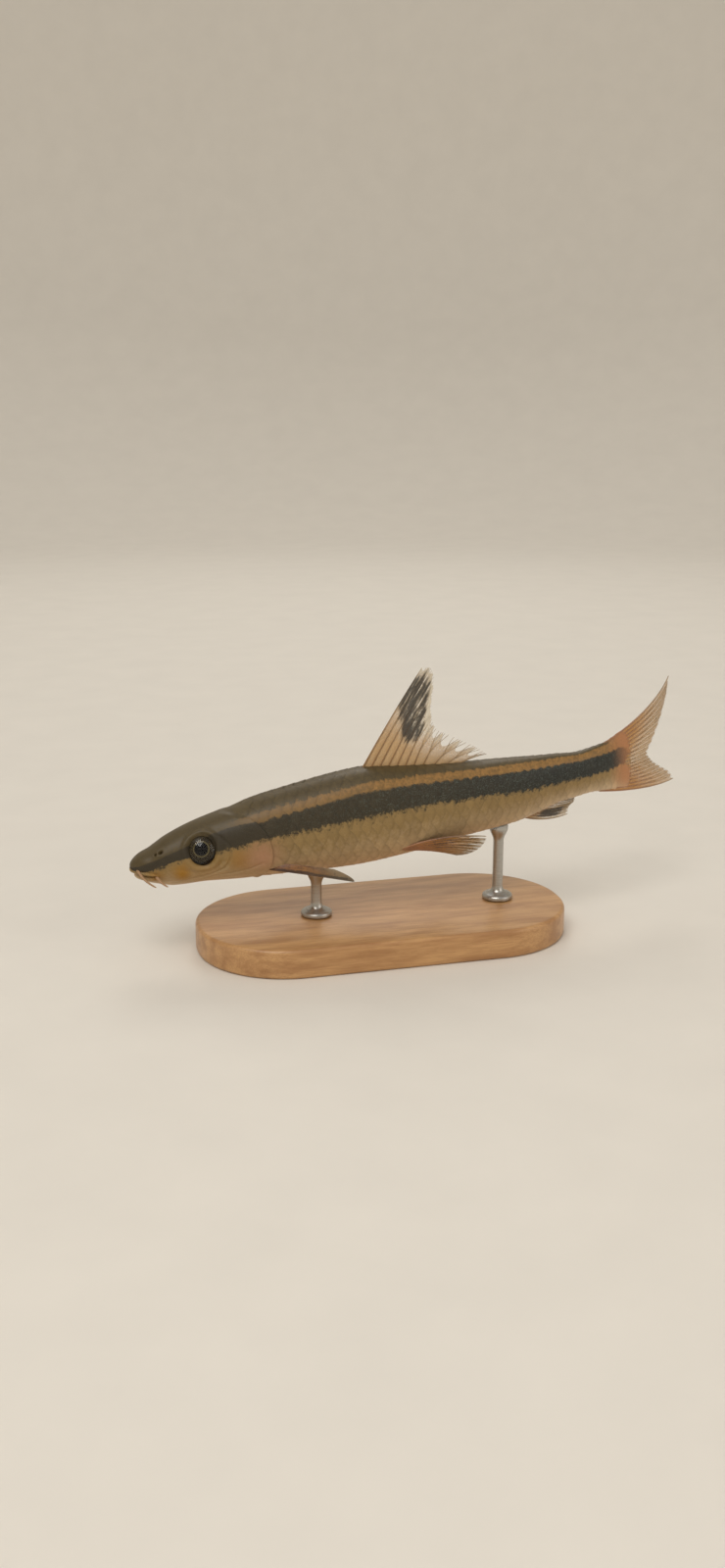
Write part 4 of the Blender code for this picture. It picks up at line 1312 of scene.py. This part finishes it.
def tail_marks(share, reach):
    """The stripe's dark end on the middle rays, and orange above and below it near the root."""
    narrows = np.clip(reach / 0.75, 0, 1)
    dark = inside(share, mix(0.2, 0.43, narrows), mix(0.57, 0.54, narrows), 0.07)
    dark = dark * (1 - ease((reach - 0.4) / 0.25))
    above = (1 - ease((share - 0.4) / 0.15)) * (1 - ease((reach - 0.18) / 0.65))
    below = ease((share - 0.5) / 0.12) * (1 - ease((reach - 0.28) / 0.7))
    return 0.6 * dark, mix(0.6, 1.35, np.maximum(above, below)), np.zeros_like(dark)


def pectoral_marks(share, reach):
    """Brown along the leading rays, reddish behind them."""
    dark = 0.45 + 0.45 * (1 - ease((share - 0.12) / 0.25)) * inside(reach, 0.1, 0.95, 0.3)
    return dark, 1.25 - ease((reach - 0.4) / 0.7), np.zeros_like(dark)


def pelvic_marks(share, reach):
    """Reddish brown, with a dark smudge over the outer half of the leading rays."""
    dark = 0.3 + 0.25 * inside(reach, 0.3, 0.88, 0.25) * inside(share, -0.1, 0.6, 0.3)
    return dark, 1.4 - ease((reach - 0.35) / 0.7), np.zeros_like(dark)


FIN_STEP = 1e-3  # the least step over a fin's surface, as a share


def surface_axes(middle, share, reach):
    """Places on a fin's middle surface, with directions over the rays and square to the surface."""
    low, high = np.maximum(share - FIN_STEP, 0), np.minimum(share + FIN_STEP, 1)
    out = unit(middle(share, reach + FIN_STEP) - middle(share, reach - FIN_STEP))
    normal = unit(np.cross(unit(middle(high, reach) - middle(low, reach)), out))
    return middle(share, reach), np.cross(out, normal), normal


def ray_spacing(middle, share, reach, rays):
    low, high = np.maximum(share - FIN_STEP, 0), np.minimum(share + FIN_STEP, 1)
    gap = np.linalg.norm(middle(high, reach) - middle(low, reach), axis=-1) / (high - low)
    return gap / (rays - 1)


# The rays: reaches of their forks, with how far each moves the branches aside and over what reach
FIRST_FORK, FIRST_ASIDE, FIRST_RUN = 0.40, 0.24, 0.42
SECOND_FORK, SECOND_ASIDE, SECOND_RUN = 0.68, 0.11, 0.3
FORK_OVERLAP = 0.02
RAY_ROOT = -0.05  # reach of a ray's root, inside the body
BRANCH_SIZES = (1.0, 0.66, 0.46)
RAY_SIDES = 6
RAY_STEP = 0.17 * MM
RAY_HALF_WIDTH, RAY_HALF_DEPTH = 0.21 * MM, 0.26 * MM
RAY_TIP = 0.42  # its share of the width and depth
LONG_JOINTS, SHORT_JOINTS = 0.75 * MM, 0.6 * MM  # from joint to joint
JOINT_DENT = 0.22
WEB_CELLS = 8  # of the membrane, from ray to ray
WEB_SLACK = 0.12 * MM
EVEN_NOTCH = 0.045


def ray_branches(forked):
    """The pieces of one ray: where each starts and ends, which way it has gone at each fork, and its size."""
    whole, half, quarter = BRANCH_SIZES
    if not forked:
        return [(RAY_ROOT, 1.0, (0, 0), whole)]
    found = [(RAY_ROOT, FIRST_FORK + FORK_OVERLAP, (0, 0), whole)]
    for way in (-1, 1):
        found.append((FIRST_FORK, SECOND_FORK + FORK_OVERLAP, (way, 0), half))
        found += [(SECOND_FORK, 1.0, (way, second), quarter) for second in (-1, 1)]
    return found


def ray_piece(middle, rays, centre, length, joint_gap, branch):
    """One branch of a ray: rings of points, and the share, reach and joint at each ring."""
    start, end, (first, second), thick = branch
    reach = np.linspace(start, end, max(6, int((end - start) * length / RAY_STEP)))
    aside = FIRST_ASIDE * first * ease((reach - FIRST_FORK) / FIRST_RUN)
    aside = aside + SECOND_ASIDE * second * ease((reach - SECOND_FORK) / SECOND_RUN)
    share = np.clip(centre + aside / (rays - 1), 0.0, 1.0)
    here, across, normal = surface_axes(middle, share, reach)
    spacing = ray_spacing(middle, share, np.maximum(reach, 0.02), rays)
    phase = (reach * length / joint_gap) % 1.0
    joint = hump(np.minimum(phase, 1 - phase), 0.12) * ease((reach - 0.18) / 0.1)
    taper = mix(1.0, RAY_TIP, np.clip(reach, 0, 1))
    blunt = np.sqrt(np.clip((end - reach) * length / (0.25 * MM), 0.02, 1))
    width = np.minimum(RAY_HALF_WIDTH, 0.36 * spacing) * taper * thick
    depth = np.minimum(RAY_HALF_DEPTH, 0.5 * spacing + 0.05 * MM) * taper * mix(1.0, thick, 0.6)
    width, depth = (radius * (1 - JOINT_DENT * joint) * blunt for radius in (width, depth))
    return tube_points(here, across, normal, width, depth, RAY_SIDES), np.stack((share, reach, joint), -1)


def ray_faces(rings):
    """The faces round one branch of that many rings, and over its two ends."""
    around = np.arange(RAY_SIDES)
    ring = np.arange(rings - 1)[:, None] * RAY_SIDES
    here, after = ring + around, ring + (around + 1) % RAY_SIDES
    quads = np.stack((here, after, after + RAY_SIDES, here + RAY_SIDES), -1).reshape(-1, 4)
    caps = np.array([(3, 2, 1, 0), (5, 4, 3, 0)])
    return np.concatenate((quads, caps, (rings - 1) * RAY_SIDES + caps[:, ::-1]))


def fin_rays(name, middle, rays, marks, plain, joint_gap):
    """All of a fin's jointed rays, forked twice, as one mesh."""
    points, faces, layout = [], [], []
    for index in range(rays):
        centre = index / (rays - 1)
        length = float(np.linalg.norm(np.diff(middle(np.full(2, centre), np.array((0.0, 1.0))), axis=0)))
        for branch in ray_branches(index not in plain):
            rings, along = ray_piece(middle, rays, centre, length, joint_gap, branch)
            faces.append(sum(map(len, points)) + ray_faces(len(rings)))
            points.append(rings.reshape(-1, 3))
            layout.append(np.repeat(along, RAY_SIDES, axis=0))
    layout = np.concatenate(layout)
    made = joined_mesh(name, np.concatenate(points), np.concatenate(faces))
    set_attribute(made, "fin", layout)
    set_attribute(made, "fin_marks", np.stack(marks(layout[:, 0], layout[:, 1]), -1))
    close_up(made, merge=False)
    bpy.ops.object.shade_smooth_by_angle(angle=math.radians(70))
    return made


def fin_web(name, middle, rays, marks, thickness, notch, rows):
    """A fin's membrane: a thin sheet that hangs slack between the rays and stops short of their tips."""
    share = np.linspace(0, 1, (rays - 1) * WEB_CELLS + 1)
    phase = share * (rays - 1)
    gap = np.sin(math.pi * phase) ** 2
    rim = 0.995 - notch(share) * gap**0.5
    reach = mix(-0.04, rim, np.linspace(0, 1, rows + 1)[:, None])
    nearness = 1 - 2 * np.abs((phase % 1) - 0.5)
    share, nearness = (np.broadcast_to(values, reach.shape) for values in (share, nearness))
    here, _, normal = surface_axes(middle, share, reach)
    slack = WEB_SLACK * gap * ease(reach * 5) * mix(1.0, 0.4, np.clip(reach, 0, 1))
    made = laid_grid(name, here + normal * slack[..., None])
    set_attribute(made, "fin", np.stack((share, reach, nearness), -1))
    set_attribute(made, "fin_marks", np.stack(np.broadcast_arrays(*marks(share, reach)), -1))
    wall = made.modifiers.new("thickness", "SOLIDIFY")
    wall.thickness = thickness
    wall.offset = 0
    apply_modifiers(made)
    bpy.ops.object.shade_smooth()
    return made


# How far a fin's membrane stops short of the ray tips, as a share of them


def even_notch(share):
    return EVEN_NOTCH * np.ones_like(share)


def ragged_notch(share):
    """The dorsal fin's rear rays stand free of the membrane, as in the photograph."""
    return mix(0.03, 0.34, ease((share - 0.5) / 0.3))


def frayed_notch(share):
    """The pelvic fins' ray tips stand free of the membrane by unequal lengths."""
    return 0.13 + 0.08 * np.sin(23 * share)


def build_fin(
    look, name, nodes, middle, rays, marks, notch=even_notch, plain=(0,), rows=70, joint_gap=LONG_JOINTS
):
    """A fin's membrane, of that many rows, and its rays, of which the plain ones don't fork."""
    web = fin_web(f"{name}_membrane", middle, rays, marks, look.web, notch, rows)
    finish_piece(web, fin_membrane, look, "membrane", *nodes)
    net = fin_rays(f"{name}_rays", middle, rays, marks, plain, joint_gap)
    finish_piece(net, fin_ray, look, "membrane")


class FOX_OT_middle_fins(bpy.types.Operator):
    """Models the dorsal, anal and tail fins: jointed rays and the thin membrane between them"""

    bl_idname = "flying_fox.middle_fins"
    bl_label = "Dorsal, anal and tail fins"

    def execute(self, context):
        look = context.scene.fox_fin
        build_fin(look, "dorsal", ("dorsal_fin",), dorsal_middle, 11, dorsal_marks, ragged_notch, rows=110)
        build_fin(look, "anal", ("anal_fin",), anal_middle, 8, anal_marks, rows=60)
        lobes = ("tail_fin_upper", "tail_fin_lower")
        build_fin(look, "tail", lobes, tail_middle, 19, tail_marks, plain=(0, 18), rows=110)
        return {"FINISHED"}


class FOX_OT_paired_fins(bpy.types.Operator):
    """Models the pectoral and pelvic fins of both sides"""

    bl_idname = "flying_fox.paired_fins"
    bl_label = "Pectoral and pelvic fins"

    def execute(self, context):
        look = context.scene.fox_fin
        for side, name in SIDES:
            for kind, fin, rays, marks, notch in (
                ("pectoral", PECTORAL, 12, pectoral_marks, even_notch),
                ("pelvic", PELVIC, 9, pelvic_marks, frayed_notch),
            ):
                middle = paired_middle(side, **fin)
                node = f"{kind}_fin_{name}"
                build_fin(look, f"{kind}_{name}", (node,), middle, rays, marks, notch, joint_gap=SHORT_JOINTS)
        return {"FINISHED"}


CORNER_STEPS = 24
BASE_CORNER = 18.5 * MM
EDGE_STEPS = 5
ROD_STEPS = 72
ROD_FLARE = ((0.97, 0.72), (0.84, 1.0), (0.5, 1.35))  # shares of the foot's radius, heights in millimetres
ROD_NECK = ((1.25, 1.9), (1.1, 2.7))  # radii and heights
ROD_HEAD = ((1.1, 3.4), (1.22, 2.7), (1.6, 1.9), (1.9, 1.2), (1.98, 0.7))  # radii, and depths below the top
CUP_GAP = 0.3 * MM  # from the belly's skin to the rod


class FOX_OT_stand(bpy.types.Operator):
    """Models the varnished beech base and the two turned steel rods"""

    bl_idname = "flying_fox.stand"
    bl_label = "Stand"

    def execute(self, context):
        look = context.scene.fox_stand
        self.base(look)
        for name in ("front", "rear"):
            self.rod(look, name)
        return {"FINISHED"}

    def base(self, look):
        """A board with round corners and a rounded edge."""
        low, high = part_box("stand_base")
        clear_selection()
        bpy.ops.mesh.primitive_cube_add(size=1, location=(low + high) / 2, scale=high - low)
        base = bpy.context.object
        base.name = "base_board"
        bpy.ops.object.transform_apply(location=True, rotation=True, scale=True)
        bpy.ops.object.mode_set(mode="EDIT")
        shape = bmesh.from_edit_mesh(base.data)
        for item in (*shape.verts, *shape.edges, *shape.faces):
            item.select = False
        bpy.context.tool_settings.mesh_select_mode = (False, True, False)
        for edge in shape.edges:
            if abs(edge.verts[0].co.z - edge.verts[1].co.z) > MM:
                edge.select = True
        bmesh.update_edit_mesh(base.data)
        bpy.ops.mesh.bevel(offset=BASE_CORNER, segments=CORNER_STEPS, affect="EDGES")
        bpy.ops.object.mode_set(mode="OBJECT")
        rounded_edge = base.modifiers.new("edges", "BEVEL")
        rounded_edge.width = look.edge
        rounded_edge.segments = EDGE_STEPS
        rounded_edge.limit_method = "ANGLE"
        rounded_edge.angle_limit = math.radians(60)
        apply_modifiers(base)
        bpy.ops.object.shade_smooth_by_angle(angle=math.radians(35))
        finish_piece(base, beech_satin_varnish, look, "base_wood", "stand_base")

    def rod(self, look, name):
        """A rod turned round its own middle, with its top cut to the belly's curve."""
        low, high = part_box(f"stand_rod_{name}")
        middle = (low + high) / 2
        foot = (high.x - low.x) / 2
        top = high.z - low.z
        profile = [(0.0, 0.0), (foot, 0.0), (foot, 0.5 * MM)]
        profile += [(foot * share, height * MM) for share, height in ROD_FLARE]
        profile += [(radius * MM, height * MM) for radius, height in ROD_NECK]
        profile += [(radius * MM, top - depth * MM) for radius, depth in ROD_HEAD]
        rings = turned(profile, ROD_STEPS) + np.array((middle.x, middle.y, low.z))
        made = laid_grid(f"rod_{name}", np.concatenate((rings, self.cup(rings[-1]))))
        close_up(made)
        bpy.ops.object.shade_smooth_by_angle(angle=math.radians(50))
        finish_piece(made, brushed_stainless_steel, look, "rod_steel", f"stand_rod_{name}")

    def cup(self, rim):
        """Rings that close the rod's top in a shallow cup just under the belly."""
        along, turn = np.linspace(30 * MM, 80 * MM, 240), np.linspace(2.6, 3.7, 90)
        belly = on_skin(along[:, None], turn[None, :]).reshape(-1, 3)
        rings = np.array([mix(rim.mean(axis=0), rim, share) for share in (1.0, 0.8, 0.6, 0.4, 0.2, 0.0)])
        for point in rings.reshape(-1, 3):
            nearest = np.argsort(np.hypot(belly[:, 0] - point[0], belly[:, 1] - point[1]))[:4]
            point[2] = belly[nearest, 2].mean() - CUP_GAP
        return rings


# The stage, in metres
FLOOR_RADIUS = 0.75
SWEEP_RADIUS = 0.35
SWEEP_STEPS = 14
WALL_HEIGHT = 1.1
FLOOR_SIDES = 96
WARM_WHITE = (1.0, 0.97, 0.93)
ROOM_STRENGTH = 0.5
LAMP_AIM = (0.0, 0.0, 0.03)
LAMPS = (  # name, place, width and tint
    ("key", (-0.35, -0.45, 0.75), 0.55, WARM_WHITE),
    ("fill", (0.6, -0.5, 0.35), 0.6, WARM_WHITE),
    ("rim", (0.15, 0.6, 0.6), 0.4, (1.0, 0.97, 0.92)),
)


def soft_light(name, where, width, tint, watts):
    clear_selection()
    bpy.ops.object.light_add(type="AREA", location=where)
    lamp = bpy.context.object
    lamp.name = name
    lamp.data.shape = "DISK"
    lamp.data.size = width
    lamp.data.energy = watts
    lamp.data.color = tint
    lamp.rotation_euler = (Vector(where) - Vector(LAMP_AIM)).to_track_quat("Z", "Y").to_euler()


class FOX_OT_stage(bpy.types.Operator):
    """Sets up the plain floor with its backdrop, the soft light and the camera"""

    bl_idname = "flying_fox.stage"
    bl_label = "Stage"

    def execute(self, context):
        look = context.scene.fox_stage
        self.backdrop(look)
        for name, where, width, tint in LAMPS:
            soft_light(f"{name}_light", where, width, tint, getattr(look, name))
        world = bpy.data.worlds.new("soft_room")
        world.use_nodes = True
        background = world.node_tree.nodes["Background"]
        background.inputs["Color"].default_value = (*WARM_WHITE, 1.0)
        background.inputs["Strength"].default_value = ROOM_STRENGTH
        context.scene.world = world
        self.camera(context)
        context.scene.view_settings.view_transform = "Standard"
        return {"FINISHED"}

    def backdrop(self, look):
        """A round floor that sweeps up into a wall all round, so that each view has a plain background."""
        profile = [(0.0, 0.0), (0.2, 0.0)]
        for angle in np.linspace(0, math.pi / 2, SWEEP_STEPS):
            radius = FLOOR_RADIUS + SWEEP_RADIUS * math.sin(angle)
            profile.append((radius, SWEEP_RADIUS * (1 - math.cos(angle))))
        profile.append((FLOOR_RADIUS + SWEEP_RADIUS, WALL_HEIGHT))
        floor = laid_grid("floor", turned(profile, FLOOR_SIDES))
        close_up(floor)
        floor.data.flip_normals()
        floor.data.materials.append(paper_backdrop(look))

    def camera(self, context):
        """The photograph's view: from the fish's left and slightly in front, looking a little down."""
        level = math.cos(ELEVATION)
        back = Vector((math.sin(AZIMUTH) * level, -math.cos(AZIMUTH) * level, math.sin(ELEVATION)))
        right = Vector((math.cos(AZIMUTH), math.sin(AZIMUTH), 0))
        above = back.cross(right)
        aim = Vector(place(np.array(50 * MM), 0.0, 0.0))
        pixel = DISTANCE / FOCAL_PIXELS
        aim += (-SHIFT_PIXELS[0] * right + SHIFT_PIXELS[1] * above) * pixel
        clear_selection()
        bpy.ops.object.camera_add(location=aim + back * DISTANCE)
        camera = bpy.context.object
        camera.name = "photo_camera"
        camera.rotation_euler = back.to_track_quat("Z", "Y").to_euler()
        camera.data.sensor_width = 36
        camera.data.lens = FOCAL_PIXELS * camera.data.sensor_width / PHOTO_HEIGHT
        camera.data.clip_start = 0.01
        camera.data.dof.use_dof = False
        context.scene.camera = camera


class FOX_PT_panel(bpy.types.Panel):
    """Lists the model's pieces and their looks"""

    bl_idname = "FOX_PT_panel"
    bl_label = "Flying Fox"
    bl_space_type = "VIEW_3D"
    bl_region_type = "UI"
    bl_category = "Flying Fox"

    def draw(self, context):
        for operator, group in STEPS:
            box = self.layout.box()
            box.operator(operator.bl_idname)
            settings = getattr(context.scene, group)
            for name in type(settings).__annotations__:
                box.prop(settings, name)


LOOKS = {
    "fox_skin": FoxSkinLook,
    "fox_fin": FoxFinLook,
    "fox_eye": FoxEyeLook,
    "fox_stand": FoxStandLook,
    "fox_stage": FoxStageLook,
}
STEPS = (
    (FOX_OT_skin, "fox_skin"),
    (FOX_OT_scales, "fox_skin"),
    (FOX_OT_eyes, "fox_eye"),
    (FOX_OT_barbels, "fox_skin"),
    (FOX_OT_middle_fins, "fox_fin"),
    (FOX_OT_paired_fins, "fox_fin"),
    (FOX_OT_stand, "fox_stand"),
    (FOX_OT_stage, "fox_stage"),
)


def register():
    for group in LOOKS.values():
        bpy.utils.register_class(group)
    for operator, _ in STEPS:
        bpy.utils.register_class(operator)
    bpy.utils.register_class(FOX_PT_panel)
    for name, group in LOOKS.items():
        setattr(bpy.types.Scene, name, bpy.props.PointerProperty(type=group))


def unregister():
    for name in LOOKS:
        delattr(bpy.types.Scene, name)
    bpy.utils.unregister_class(FOX_PT_panel)
    for operator, _ in reversed(STEPS):
        bpy.utils.unregister_class(operator)
    for group in reversed(LOOKS.values()):
        bpy.utils.unregister_class(group)


def main():
    register()
    for operator, _ in STEPS:
        group, name = operator.bl_idname.split(".")
        getattr(getattr(bpy.ops, group), name)()


if __name__ == "__main__":
    main()
